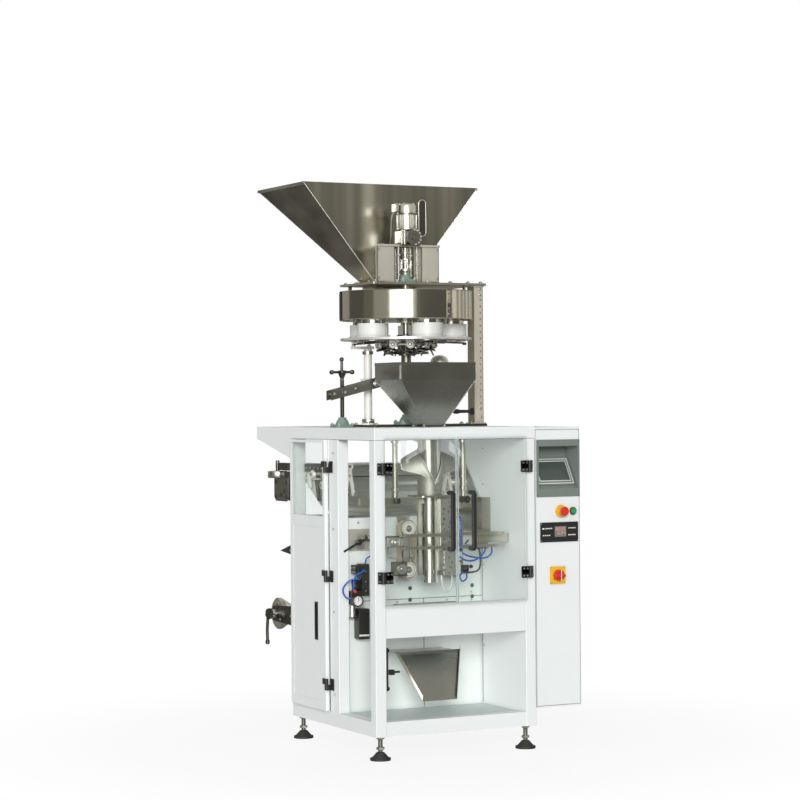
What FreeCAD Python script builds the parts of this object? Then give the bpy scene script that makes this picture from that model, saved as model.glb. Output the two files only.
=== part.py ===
import FreeCAD, Part
import math
import os

# Volumetric cup filler on the vertical bagging machine that carries it.
# Millimetres. Machine axes: x to the right from the left face, y to the back from
# the front face, z up from the floor. Every shape moves to the row origin at the end:
# the middle of the overall box, on the floor.

V = FreeCAD.Vector
SEAM = 0.3

# Main frame
FRAME_W = 778.0
FRAME_D = 845.0
REAR_OVERHANG = 384.0
DECK_D = FRAME_D + REAR_OVERHANG
DECK_TOP = 1400.0
DECK_H = 51.0
DECK_SKIN = 3.0
FOOT_H = 100.0
POST = 50.0
EDGE_R = 3.0
RAIL_H = 62.0
MID_POST_Y0 = 357.0
MID_POST_Y1 = 447.0
SHEET = 3.0
WALL_Y = 390.0
WALL_TOP = 1004.0
BEAM_Z0 = 513.0
BEAM_H = 137.0
REAR_BEAM_Z0 = DECK_TOP - 205.0
REAR_BEAM_H = 40.0

# Control cabinet and its fittings
CAB_W = 228.0
CAB_D = 420.0
CAB_Z0 = 174.0
CAB_DROP = 5.0
HMI_Z0 = DECK_TOP - 309.0
HMI_H = 250.0
HMI_MARGIN = 8.0
HMI_DEEP = 110.0
PANEL_PROUD = 2.5
SCREEN_FRONT = 15.0
SCREEN_BACK = 95.0
SCREEN_Z0 = HMI_Z0 + 43.0
SCREEN_H = 131.0
STOP_X = FRAME_W + 129.0
START_X = FRAME_W + 188.0
BUTTON_Z = HMI_Z0 - 63.0
TEMP_Z0 = HMI_Z0 - 197.0
TEMP_H = 86.0
SWITCH_X = FRAME_W + 110.0
SWITCH_Z = TEMP_Z0 - 145.0
SWITCH_PLATE = 76.0

# Levelling feet
FOOT_R = 44.0
FOOT_IN = 36.0
FOOT_PAD = 34.0
STEM_R = 9.0

# Doors
DOOR_T = 8.0
DOOR_GAP = 5.0
DOOR_STAND = 3.0
DOOR_LAP = 8.0
HINGE_H = 50.0
HINGE_PLATE_T = 4.0
PIN_R = 4.0
PIN_FIT = 0.05
PIN_Y = -14.0
PIN_IN = 32.0
KNUCKLE_R = 8.0
KNUCKLE_GAP = 0.5
DOOR_HINGE_Z = (BEAM_Z0 + BEAM_H + 120.0, DECK_TOP - 172.0)
HANDLE_H = 250.0
HANDLE_OUT = 52.0
HANDLE_BAR = 16.0
HANDLE_Z = DECK_TOP - 398.0
SIDE_DOOR_T = 20.0
SIDE_DOOR_SHEET = 2.0
SIDE_WINDOW_Z0 = DECK_TOP - 388.0
SIDE_PIN_OUT = 22.0
SIDE_HINGE_Z = (281.0, 753.0, DECK_TOP - 171.0)
LEAF_W = 34.0

# Forming tube, collar and film path
AXIS_X = FRAME_W / 2.0
TUBE_Y = 245.0
TUBE_R = 36.0
TUBE_TOP_R = 50.0
TUBE_WALL = 1.5
TUBE_BOTTOM = DECK_TOP - 677.0
SLEEVE_R = 53.0
FORMER_Z = DECK_TOP - 305.0
FORMER_T = 8.0
CROSSBAR_H = 28.0
ROD_DX = 168.0
ROD_R = 12.5
STRIP_Z0 = FORMER_Z - 340.0
ROLLER_Y = 435.0
ROLLER_Z = WALL_TOP + 32.0
ROLLER_R = 31.0
ROLL_Y = FRAME_D + 195.0
ROLL_Z = 544.0
ROLL_SHAFT_R = 20.0
CHUCK_R = 70.0
CHUCK_L = 50.0
DANCER_Y = WALL_Y + 210.0
DANCER_Z = ROLLER_Z + 107.0
DANCER_R = 33.0
GUIDE_R = 12.0
CHEEK_T = 6.0
ARM_IN = 10.0
ARM_T = 12.0
GUIDE_REACH = 165.0
GUIDE_TUBE_R = 18.0
HOOK_REACH = 150.0

# Air hoses
HOSE_R = 4.0
HOSE_BEND = 12.0

# Film belts
PULLEY_R = 33.0
PULLEY_DX = 115.0
BELT_T = 6.0
BELT_W = 40.0
BELT_Z = (FORMER_Z - 312.0, FORMER_Z - 134.0)

# Sealing
SEAL_Y = 127.0
SEAL_BAR = 14.0
SEAL_BAR_Z = (FORMER_Z - 221.0, FORMER_Z - 167.0)
JAW_L = 300.0
JAW_Z0 = TUBE_BOTTOM - 183.0
JAW_H = 90.0
JAW_ROD_R = 10.0

# Rotary cup filler, hung from the top plate
SPIN_Y = 457.0
PLATE_T = 10.0
COLUMN_H = 621.0
TOP_PLATE_Z = DECK_TOP + PLATE_T + COLUMN_H
PLATE_X0 = AXIS_X - 184.0
PLATE_X1 = AXIS_X + 386.0
PLATE_Y0 = 410.0
BASE_Y1 = 640.0
TOP_Y1 = 752.0
COLUMN_X0 = PLATE_X1 - 47.0
COLUMN_W = 36.0
COLUMN_Y0 = 420.0
COLUMN_D = 75.0
RING_R = 294.0
RING_T = 2.0
RING_H = 128.0
RING_DROP = 31.0
RING_Z0 = TOP_PLATE_Z - RING_DROP - RING_H
RING_BEAD = 2.5
RING_CLEAR = 6.0
HANGER_TURNS = (-5.0, 55.0, 125.0)
UPPER_Z = RING_Z0 + 14.0
UPPER_T = 8.0
DISC_R = 291.0
DISC_T = 10.0
DISC_Z = UPPER_Z - 103.0
CUPS = 5
CUP_PITCH_R = 205.0
CUP_R = 68.0
CUP_H = 62.0
CUP_FLANGE_T = 7.0
CUP_BORE_R = 55.0
CUP_FIT = 0.3
METAL_T = 1.5
METAL_GAP = 20.0
FLAP_R = 63.0
FLAP_T = 4.0
LUG_H = 24.0
SPINDLE_R = 14.0
SHAFT_FIT = 0.05
STOP_R = 40.0
STOP_H = 24.0
HUB_R = 22.0
COLLAR_R = 36.0
COLLAR_H = 10.0
COLLAR_Z = DISC_Z - 143.0
CAM_R = 34.0
CAM_Z = DISC_Z - 67.0
CAM_H = 20.0
CAM_REACH = 100.0

# Discharge funnel
FUN_X0 = AXIS_X - 182.0
FUN_X1 = AXIS_X + 182.0
FUN_Y0 = 150.0
FUN_Y1 = 405.0
FUN_TOP = DISC_Z - 103.0
FUN_SKIRT = FUN_TOP - 75.0
FUN_MOUTH = 44.0
FUN_T = 2.0

# Bulk hopper
HOP_HALF = 439.0
HOP_X0 = AXIS_X - HOP_HALF
HOP_X1 = AXIS_X + HOP_HALF
HOP_Y0 = 585.0
HOP_Y1 = 1085.0
HOP_H = 446.0
HOP_TOP = TOP_PLATE_Z + PLATE_T + HOP_H
HOP_OUT_HALF = 87.0
HOP_OUT_Y1 = 715.0
HOP_T = 2.0
HOP_LIP = 12.0
NECK_Z0 = UPPER_Z + 49.0
NECK_GAP = 3.0
WINDOW_X = AXIS_X + 151.0
WINDOW_H = 170.0
WINDOW_W = 42.0
WINDOW_Z = HOP_TOP - 146.0

# Motor bracket and geared motor
BRACKET_HALF = 154.0
BRACKET_Y0 = 430.0
BRACKET_D = 130.0
BRACKET_T = 4.0
BRACKET_H = 157.0
FLANGE_W = 88.0
GEAR_H = 67.0
MOTOR_H = 70.0
MOTOR_R = 38.0
MOTOR_CAP_H = 45.0

# Cup volume adjuster
POST_X = AXIS_X - 165.0
POST_Y = 508.0
POST_R = 18.0
POST_TOP = DISC_Z - 38.0
TRIP_T = 12.0
SCREW_X = AXIS_X - 317.0
SCREW_R = 8.5
LEVER_Y = 430.0
LEVER_SPAN = 54.0
LEVER_T = 8.0
LEVER_H = 42.0
LEVER_Z = COLLAR_Z - 48.0
LEVER_TAIL = 64.0
ROLLER_PIN_R = 8.0
NUT_HALF = 15.0
NUT_PIN_R = 7.0
HANDLE_HUB_Z = LEVER_Z + 44.0

# Overall box, which sets the row origin
FRONT_REACH = DOOR_STAND + DOOR_T + HANDLE_OUT
ORIGIN = V((HOP_X0 + FRAME_W + CAB_W) / 2.0, (DECK_D - FRONT_REACH) / 2.0, 0)

NODES = {}


def add(name, *solids):
    """Keep one node, made of solids that don't touch or of one fused body."""
    NODES[name] = solids[0] if len(solids) == 1 else Part.makeCompound(list(solids))


def box(x0, x1, y0, y1, z0, z1):
    """A box between two corners."""
    return Part.makeBox(x1 - x0, y1 - y0, z1 - z0, V(x0, y0, z0))


def soft_box(x0, x1, y0, y1, z0, z1, r, axis="z"):
    """A box with the four edges along one axis rounded."""
    body = box(x0, x1, y0, y1, z0, z1)
    pick = {"x": lambda t: abs(t.x) > 0.9, "y": lambda t: abs(t.y) > 0.9, "z": lambda t: abs(t.z) > 0.9}[axis]
    return body.makeFillet(r, [e for e in body.Edges if pick(e.tangentAt(e.FirstParameter))])


def rod(p, q, r):
    """A round bar from point p to point q."""
    p, q = V(*p), V(*q)
    return Part.makeCylinder(r, (q - p).Length, p, q - p)


def cone(p, q, r0, r1):
    """A round taper from p to q."""
    p, q = V(*p), V(*q)
    return Part.makeCone(r0, r1, (q - p).Length, p, q - p)


def pipe(p, q, r, wall):
    """A round tube from p to q, of outer radius r."""
    return rod(p, q, r).cut(rod(p, q, r - wall))


def prism(points, along):
    """A straight prism over a closed flat outline."""
    pts = [V(*p) for p in points]
    return Part.Face(Part.makePolygon(pts + pts[:1])).extrude(V(*along))


def fuse(shapes):
    """One body from pieces that touch."""
    return shapes[0].fuse(shapes[1:]).removeSplitter()


def mirrored(shape, x=AXIS_X):
    """The mirror image across an upright plane."""
    return shape.mirror(V(x, 0, 0), V(1, 0, 0))


def turned(shape, turn):
    """A copy turned about the spindle."""
    out = shape.copy()
    out.rotate(V(AXIS_X, SPIN_Y, 0), V(0, 0, 1), turn)
    return out


def on_spindle(z0, z1, r):
    """A round piece on the spindle's axis."""
    return rod((AXIS_X, SPIN_Y, z0), (AXIS_X, SPIN_Y, z1), r)


def on_tube(z0, z1, r):
    """A round piece on the forming tube's axis."""
    return rod((AXIS_X, TUBE_Y, z0), (AXIS_X, TUBE_Y, z1), r)


def level_taper(low, high):
    """A solid between two level rectangles, each (x0, x1, y0, y1, z)."""
    rings = [[V(x0, y0, z), V(x1, y0, z), V(x1, y1, z), V(x0, y1, z)] for x0, x1, y0, y1, z in (low, high)]
    outlines = rings + [[rings[0][i - 1], rings[0][i], rings[1][i], rings[1][i - 1]] for i in range(4)]
    return Part.Solid(Part.Shell([Part.Face(Part.makePolygon(pts + pts[:1])) for pts in outlines]))


def bent_tube(points, r, bend):
    """A round tube through points, with a tangent arc of radius bend at each corner."""
    pts = [V(*p) for p in points]
    edges, start = [], pts[0]
    for before, corner, after in zip(pts, pts[1:], pts[2:]):
        a, b = (before - corner).normalize(), (after - corner).normalize()
        half = a.getAngle(b) / 2.0
        back = bend / math.tan(half)
        middle = corner + (a + b).normalize() * (bend / math.sin(half) - bend)
        edges.append(Part.makeLine(start, corner + a * back))
        edges.append(Part.Arc(corner + a * back, middle, corner + b * back).toShape())
        start = corner + b * back
    edges.append(Part.makeLine(start, pts[-1]))
    circle = Part.Wire(Part.makeCircle(r, pts[0], pts[1] - pts[0]))
    return Part.Wire(edges).makePipeShell([circle], True, False)


def make_frame():
    """Left and right sides, cross bars, inner wall, rear panel and floor tray."""
    z0, z1 = FOOT_H, DECK_TOP - DECK_H
    rail_top = z0 + RAIL_H
    far = FRAME_D - POST
    left = [soft_box(0, POST, y, y + POST, z0, z1, EDGE_R) for y in (0, far)]
    left.append(soft_box(0, POST, MID_POST_Y0, MID_POST_Y1, z0, z1, EDGE_R))
    left.append(box(0, POST, EDGE_R, FRAME_D - EDGE_R, z0, rail_top))
    add("frame_left", fuse(left))
    x0 = FRAME_W - POST
    right = [soft_box(x0, FRAME_W, y, y + POST, z0, z1, EDGE_R) for y in (0, far)]
    right.append(box(x0, FRAME_W, EDGE_R, FRAME_D - EDGE_R, z0, rail_top))
    right.append(box(x0, x0 + SHEET, POST - EDGE_R, far + EDGE_R, rail_top, z1))
    right.append(box(FRAME_W - SHEET, FRAME_W, POST - EDGE_R, far + EDGE_R, rail_top, z1))
    right.append(box(x0, FRAME_W, POST - EDGE_R, far + EDGE_R, z1 - POST, z1))
    add("frame_right", fuse(right))
    bars = [box(POST, x0, 2, POST - 2, z0, rail_top), box(POST, x0, far + 2, FRAME_D - 2, z0, rail_top),
            soft_box(POST, x0, 0, POST, BEAM_Z0, BEAM_Z0 + BEAM_H, EDGE_R, "x"),
            box(POST, x0, far + 5, FRAME_D - 5, REAR_BEAM_Z0, REAR_BEAM_Z0 + REAR_BEAM_H)]
    add("frame_crossbars", *bars)
    add("floor_tray", box(POST, x0, POST - 2, far + 2, rail_top - 2 * SHEET, rail_top - SHEET))
    wall = [box(POST, x0, WALL_Y, WALL_Y + SHEET, rail_top - SHEET, WALL_TOP),
            box(POST, x0, WALL_Y, WALL_Y + 20, WALL_TOP - SHEET, WALL_TOP)]
    add("inner_wall", fuse(wall))
    add("rear_panel", box(POST, x0, FRAME_D - 8, FRAME_D - 8 + SHEET, rail_top, WALL_TOP))


def make_deck():
    """Deck tray with its tube hole, rear overhang and side gussets."""
    z0 = DECK_TOP - DECK_H
    deck = soft_box(0, FRAME_W, 0, DECK_D, z0, DECK_TOP, EDGE_R)
    for y0, y1 in ((POST, FRAME_D - POST), (FRAME_D, DECK_D - SHEET)):
        deck = deck.cut(box(POST, FRAME_W - POST, y0, y1, z0, DECK_TOP - DECK_SKIN))
    deck = deck.cut(on_tube(z0, DECK_TOP, TUBE_TOP_R + SEAM))
    gussets = []
    for x in (0, FRAME_W - SHEET):
        pts = [(x, FRAME_D, z0), (x, DECK_D - EDGE_R, z0), (x, DECK_D - EDGE_R, z0 - 4),
               (x, FRAME_D, z0 - 92)]
        gussets.append(prism(pts, (SHEET, 0, 0)))
    add("deck", fuse([deck] + gussets))


def make_feet():
    """Four levelling feet: rubber pad and threaded stem."""
    feet = []
    for x in (FOOT_IN, FRAME_W - FOOT_IN):
        for y in (FOOT_IN, FRAME_D - FOOT_IN):
            pad = fuse([rod((x, y, 0), (x, y, 10), FOOT_R),
                        cone((x, y, 10), (x, y, FOOT_PAD), FOOT_R - 6, STEM_R * 1.8)])
            stem = rod((x, y, FOOT_PAD - 4), (x, y, FOOT_H), STEM_R)
            feet.append(pad.fuse(stem))
    add("levelling_feet", *feet)


def make_cabinet():
    """Control cabinet with the deep recess for the tilted screen."""
    x0, x1 = FRAME_W, FRAME_W + CAB_W
    z1 = DECK_TOP - CAB_DROP
    body = soft_box(x0, x1, 0, CAB_D, CAB_Z0, z1, EDGE_R)
    a, b = x0 + HMI_MARGIN + 10, x1 - HMI_MARGIN
    lo, hi = HMI_Z0 + 35, HMI_Z0 + HMI_H - 28
    recess = box(a, b, -PANEL_PROUD * 2, HMI_DEEP, lo, hi)
    frame = box(x0 + HMI_MARGIN, x1 - 1, -PANEL_PROUD, 0, HMI_Z0, HMI_Z0 + HMI_H).cut(recess)
    add("control_cabinet", body.cut(recess))
    back = [(a, HMI_DEEP, lo), (a, SCREEN_FRONT, lo), (a, SCREEN_FRONT, SCREEN_Z0),
            (a, SCREEN_BACK, SCREEN_Z0 + SCREEN_H), (a, SCREEN_BACK, hi), (a, HMI_DEEP, hi)]
    add("screen_panel", frame, prism(back, (b - a, 0, 0)))
    add("temperature_panel", box(x0 + 25, x1 - 12, -4, 0, TEMP_Z0, TEMP_Z0 + TEMP_H))


def make_controls():
    """Stop and start buttons on their collars, and the mains switch."""
    sx, gx, z = STOP_X, START_X, BUTTON_Z
    bore = 7.0
    stop_collar = pipe((sx, -8, z), (sx, 0, z), 27, 27 - bore)
    neck = pipe((sx, -18, z), (sx, -8, z), 15, 15 - bore)
    start_collar = pipe((gx, -7, z), (gx, 0, z), 15, 15 - bore)
    stem_r = bore - PIN_FIT
    stop = fuse([rod((sx, -28, z), (sx, -7, z), stem_r), cone((sx, -28, z), (sx, -22.5 - 1.5, z), 20, 17),
                 rod((sx, -38, z), (sx, -28, z), 20)])
    add("stop_button", stop)
    start = fuse([rod((gx, -12, z), (gx, -5, z), stem_r), rod((gx, -18, z), (gx, -12, z), 12)])
    add("start_button", start)
    h = SWITCH_PLATE / 2
    sx, z = SWITCH_X, SWITCH_Z
    plate = soft_box(sx - h, sx + h, -6, 0, z - h, z + h, 4, "y")
    plate = plate.cut(rod((sx, -7, z), (sx, -2, z), bore))
    add("control_plates", fuse([stop_collar, neck]), start_collar, plate)
    knob = fuse([rod((sx, -6 - SEAM, z), (sx, -3, z), stem_r), rod((sx, -22, z), (sx, -6 - SEAM, z), 24),
                 box(sx - 22, sx + 22, -36, -22, z - 6, z + 6)])
    add("switch_knob", knob)


def pull_handle(x):
    """A pull bar with two feet on a door, standing out to the front."""
    y1 = -(DOOR_STAND + DOOR_T)
    y0 = y1 - HANDLE_OUT
    z0, z1 = HANDLE_Z - HANDLE_H / 2, HANDLE_Z + HANDLE_H / 2
    b = HANDLE_BAR
    outer = box(x, x + b, y0, y1, z0, z1).cut(box(x, x + b, y0 + b, y1, z0 + b, z1 - b))
    corners = [e for e in outer.Edges if abs(e.tangentAt(e.FirstParameter).x) > 0.9
               and abs(e.CenterOfMass.y - y0) < 1]
    return outer.makeFillet(b * 0.8, corners)


def front_hinge(xp, s, z):
    """Fixed half and leaf of one hinge; s is the side its door lies on."""
    h = HINGE_H / 2
    low, knuckle = z - h, z - h / 3
    fixed = fuse([box(*sorted((xp, xp - s * 20)), -HINGE_PLATE_T, 0, low, z + h),
                  rod((xp, PIN_Y, low), (xp, PIN_Y, knuckle - KNUCKLE_GAP), KNUCKLE_R),
                  box(*sorted((xp, xp - s * 8)), PIN_Y, 0, low, knuckle - KNUCKLE_GAP),
                  rod((xp, PIN_Y, low), (xp, PIN_Y, z + h), PIN_R)])
    barrel = pipe((xp, PIN_Y, knuckle), (xp, PIN_Y, z + h), KNUCKLE_R, KNUCKLE_R - PIN_R - PIN_FIT)
    face = -(DOOR_STAND + DOOR_T)
    leaf = box(*sorted((xp + s * (PIN_R + 2), xp + s * 40)), PIN_Y - 4, face, knuckle, z + h)
    return fixed, fuse([barrel, leaf])


def make_doors():
    """Two clear front doors, the side door, and every hinge."""
    z0, z1 = BEAM_Z0 + BEAM_H - DOOR_LAP, DECK_TOP - DECK_H + DOOR_LAP
    y0, y1 = -(DOOR_STAND + DOOR_T), -DOOR_STAND
    edge, half_gap = POST - 6, DOOR_GAP / 2
    left = soft_box(edge, AXIS_X - half_gap, y0, y1, z0, z1, 6, "y")
    add("front_door_left", left)
    add("front_door_right", mirrored(left))
    grips = {"left": pull_handle(AXIS_X - 46), "right": pull_handle(AXIS_X + 46 - HANDLE_BAR)}
    fixed = []
    for side, xp, s in (("left", PIN_IN, 1), ("right", FRAME_W - PIN_IN, -1)):
        leaves = []
        for z in DOOR_HINGE_Z:
            held, leaf = front_hinge(xp, s, z)
            fixed.append(held)
            leaves.append(leaf)
        add(side + "_door_fittings", grips[side], *leaves)
    add("door_hinges", *(fixed + make_side_door()))


def make_side_door():
    """Side door with its window, flush panel and slot grip. Returns its fixed hinge halves."""
    y0, y1 = MID_POST_Y1 + 3, FRAME_D - 30
    z0, z1 = FOOT_H + RAIL_H + 2, DECK_TOP - DECK_H - 3
    x0, skin = -SIDE_DOOR_T, SIDE_DOOR_SHEET
    rim = 22.0
    wy0, wy1 = y0 + rim, FRAME_D - POST
    wz1 = z1 - 12
    body = soft_box(x0, -1, y0, y1, z0, z1, EDGE_R)
    body = body.cut(box(x0 - 1, 0, wy0, wy1, SIDE_WINDOW_Z0, wz1))
    body = body.cut(box(x0 - 1, x0 + skin, wy0 + 8, wy1 - 10, z0 + 40, 965))
    hy = y0 + 96
    slot = (hy - 15, hy + 15, 468.0, 634.0)
    body = body.cut(box(x0, x0 + 12, *slot))
    add("side_door", body)
    pane = box(x0 + 6, x0 + 10, wy0, wy1, SIDE_WINDOW_Z0, wz1)
    add("side_window", pane)
    finger = box(x0 - 2, x0 + 8, slot[0] + 7, slot[1] - 7, slot[2] + 10, slot[3] - 10)
    grip = box(x0 - 1, x0 + 12, *slot).cut(finger)
    fixed, moving = [], [grip]
    yp = y0 - 8
    xp = -SIDE_PIN_OUT
    for z in SIDE_HINGE_Z:
        h = HINGE_H / 2
        fixed.append(fuse([box(-HINGE_PLATE_T, 0, yp - LEAF_W, yp, z - h, z + h),
                           box(xp, 0, yp - 8, yp, z - h, z - KNUCKLE_GAP),
                           rod((xp, yp, z - h), (xp, yp, z - KNUCKLE_GAP), KNUCKLE_R),
                           rod((xp, yp, z - h), (xp, yp, z + h), PIN_R)]))
        barrel = pipe((xp, yp, z), (xp, yp, z + h), KNUCKLE_R, KNUCKLE_R - PIN_R - PIN_FIT)
        leaf = box(x0 - 5, x0, yp + PIN_R + 2, yp + LEAF_W, z, z + h)
        moving.append(fuse([barrel, leaf]))
    add("side_door_fittings", *moving)
    return fixed


def make_tube():
    """Forming tube, the sleeve with its shoulder wings, and the plate and rods that hold them."""
    top = DECK_TOP
    neck_z = FORMER_Z + FORMER_T
    step = neck_z + 26

    def body(g):
        """The stepped tube drawn in by g."""
        return fuse([on_tube(TUBE_BOTTOM, neck_z, TUBE_R - g),
                     cone((AXIS_X, TUBE_Y, neck_z), (AXIS_X, TUBE_Y, step), TUBE_R - g, TUBE_TOP_R - g),
                     on_tube(step, top, TUBE_TOP_R - g)])

    add("forming_tube", body(0).cut(body(TUBE_WALL)))
    tip, side = V(AXIS_X, TUBE_Y - SLEEVE_R, 1151), V(AXIS_X - SLEEVE_R, TUBE_Y, 1308)
    high = V(AXIS_X - 140, TUBE_Y + 5, 1258)
    normal = (side - tip).cross(high - tip).normalize()
    wing_pts = [tip, side, high]
    for x, z in ((AXIS_X - 137, 1215), (AXIS_X - 54, 1195)):
        y = tip.y - (normal.x * (x - tip.x) + normal.z * (z - tip.z)) / normal.y
        wing_pts.append(V(x, y, z))
    face = Part.Face(Part.makePolygon(wing_pts + wing_pts[:1]))
    wing = face.extrude(normal * 2).cut(on_tube(1100, 1400, SLEEVE_R - 0.5))
    sleeve = on_tube(neck_z, top - DECK_SKIN, SLEEVE_R).cut(on_tube(neck_z, top, TUBE_TOP_R + SEAM))
    add("forming_collar", fuse([sleeve, wing, mirrored(wing)]))
    bar = box(POST, AXIS_X + ROD_DX + 30, TUBE_Y - 12, TUBE_Y + 12, FORMER_Z - CROSSBAR_H, FORMER_Z)
    plate = soft_box(AXIS_X - 78, AXIS_X + 78, TUBE_Y - 72, TUBE_Y + 72, FORMER_Z, neck_z, 20)
    parts = [bar, plate]
    for s in (-1, 1):
        x = AXIS_X + s * ROD_DX
        parts.append(rod((x, TUBE_Y, FORMER_Z - CROSSBAR_H), (x, TUBE_Y, top - DECK_SKIN), ROD_R))
        strip = sorted((AXIS_X + s * 44, AXIS_X + s * 60))
        parts.append(box(*strip, TUBE_Y - 7, TUBE_Y + 7, STRIP_Z0, FORMER_Z))
    held = fuse(parts).cut(on_tube(STRIP_Z0, neck_z + 1, TUBE_R + SEAM))
    add("former_plate", held)


def make_belts():
    """Left and right film belt units: fixed belt loops, pulleys, idler and back plate."""
    y0 = TUBE_Y - BELT_W / 2
    y1 = y0 + BELT_W + 6
    x = AXIS_X - PULLEY_DX
    lo, hi = BELT_Z

    def loop(r):
        """A solid round both pulleys."""
        ends = [rod((x, y0, z), (x, y0 + BELT_W, z), r) for z in BELT_Z]
        return fuse(ends + [box(x - r, x + r, y0, y0 + BELT_W, lo, hi)])

    belt = loop(PULLEY_R + BELT_T).cut(loop(PULLEY_R))
    parts = [box(x - 30, x + 30, y1, y1 + 12, lo - 52, hi + 52),
             box(x - 22, x + 22, y1 + 12, WALL_Y, lo + 47, hi - 51)]
    for z in BELT_Z:
        parts.append(rod((x, y0 - 5, z), (x, y1 + 2, z), 10))
        parts.append(rod((x, y0, z), (x, y0 + BELT_W, z), PULLEY_R - SEAM))
    parts.append(rod((x + 16, y0 - 3, lo + 59), (x + 16, y1 + 2, lo + 59), 9))
    parts.append(box(x - 24, x + 4, y0 + 4, y1 + 2, lo + 53, lo + 101))
    drive = fuse(parts)
    add("film_belts", belt, mirrored(belt))
    add("belt_drives", drive, mirrored(drive))


def make_seal():
    """Vertical sealing bar on its two guide bars, and the cross jaws on their rods."""
    y = SEAL_Y
    lo, hi = SEAL_BAR_Z
    bars = [box(AXIS_X - 193, AXIS_X + 311, y, y + SEAL_BAR, z, z + SEAL_BAR) for z in SEAL_BAR_Z]
    block = box(AXIS_X + 177, AXIS_X + 233, y + SEAL_BAR, y + 60, lo - 8, hi + 22)
    carrier = box(AXIS_X + 207, AXIS_X + 251, y + 23, WALL_Y, hi + 10, hi + 163)
    shaft = box(AXIS_X + 233, FRAME_W - POST, y + 16, y + 40, lo + 19, hi + 3)
    add("seal_guides", fuse(bars + [block, carrier, shaft]))
    y1 = y + SEAL_BAR
    x, z = AXIS_X, lo - 8
    head = soft_box(x - 5, x + 49, y1, y1 + 26, z, z + 223, 4)
    heel = box(x + 19, x + 72, y1, y1 + 22, z - 109, z)
    rib = box(x - 5, x + 31, y1 + 10, y1 + 26, z - 86, z)
    face = box(x - 7, x + 7, y1 + 26, y1 + 44, z - 86, z + 214)
    add("vertical_sealer", fuse([head, heel, rib, face]))
    half = JAW_L / 2
    z1 = JAW_Z0 + JAW_H
    mid = JAW_Z0 + JAW_H / 2
    jaws = [soft_box(AXIS_X - half, AXIS_X + half, y0, y0 + 50, JAW_Z0, z1, 3, "x")
            for y0 in (TUBE_Y - 62, TUBE_Y + 12)]
    rods = [rod((AXIS_X + s * (half - 30), 70, mid), (AXIS_X + s * (half - 30), WALL_Y, mid), JAW_ROD_R)
            for s in (-1, 1)]
    tie = box(AXIS_X - half + 5, AXIS_X + half - 5, 60, 85, mid - 25, mid + 25)
    add("sealing_jaws", fuse(jaws + [tie] + rods))


def make_chute():
    """Sloping bag chute under the jaws, on a shelf from the inner wall."""
    top, wide, low, narrow = 421.0, 125.0, 225.0, 52.0
    pts = [(AXIS_X - wide - 60, 205, top), (AXIS_X + wide, 205, top), (AXIS_X + narrow, 105, low),
           (AXIS_X - narrow - 60, 105, low)]
    normal = (V(*pts[1]) - V(*pts[0])).cross(V(*pts[2]) - V(*pts[1])).normalize()
    slope = prism(pts, normal * 2)
    shelf = box(AXIS_X - wide - 60, AXIS_X + wide, 205, WALL_Y, top - 2, top)
    lip = box(AXIS_X - wide - 60, AXIS_X + wide, 203, 207, top - 6, top + 8)
    add("bag_chute", fuse([slope, shelf, lip]))


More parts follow.
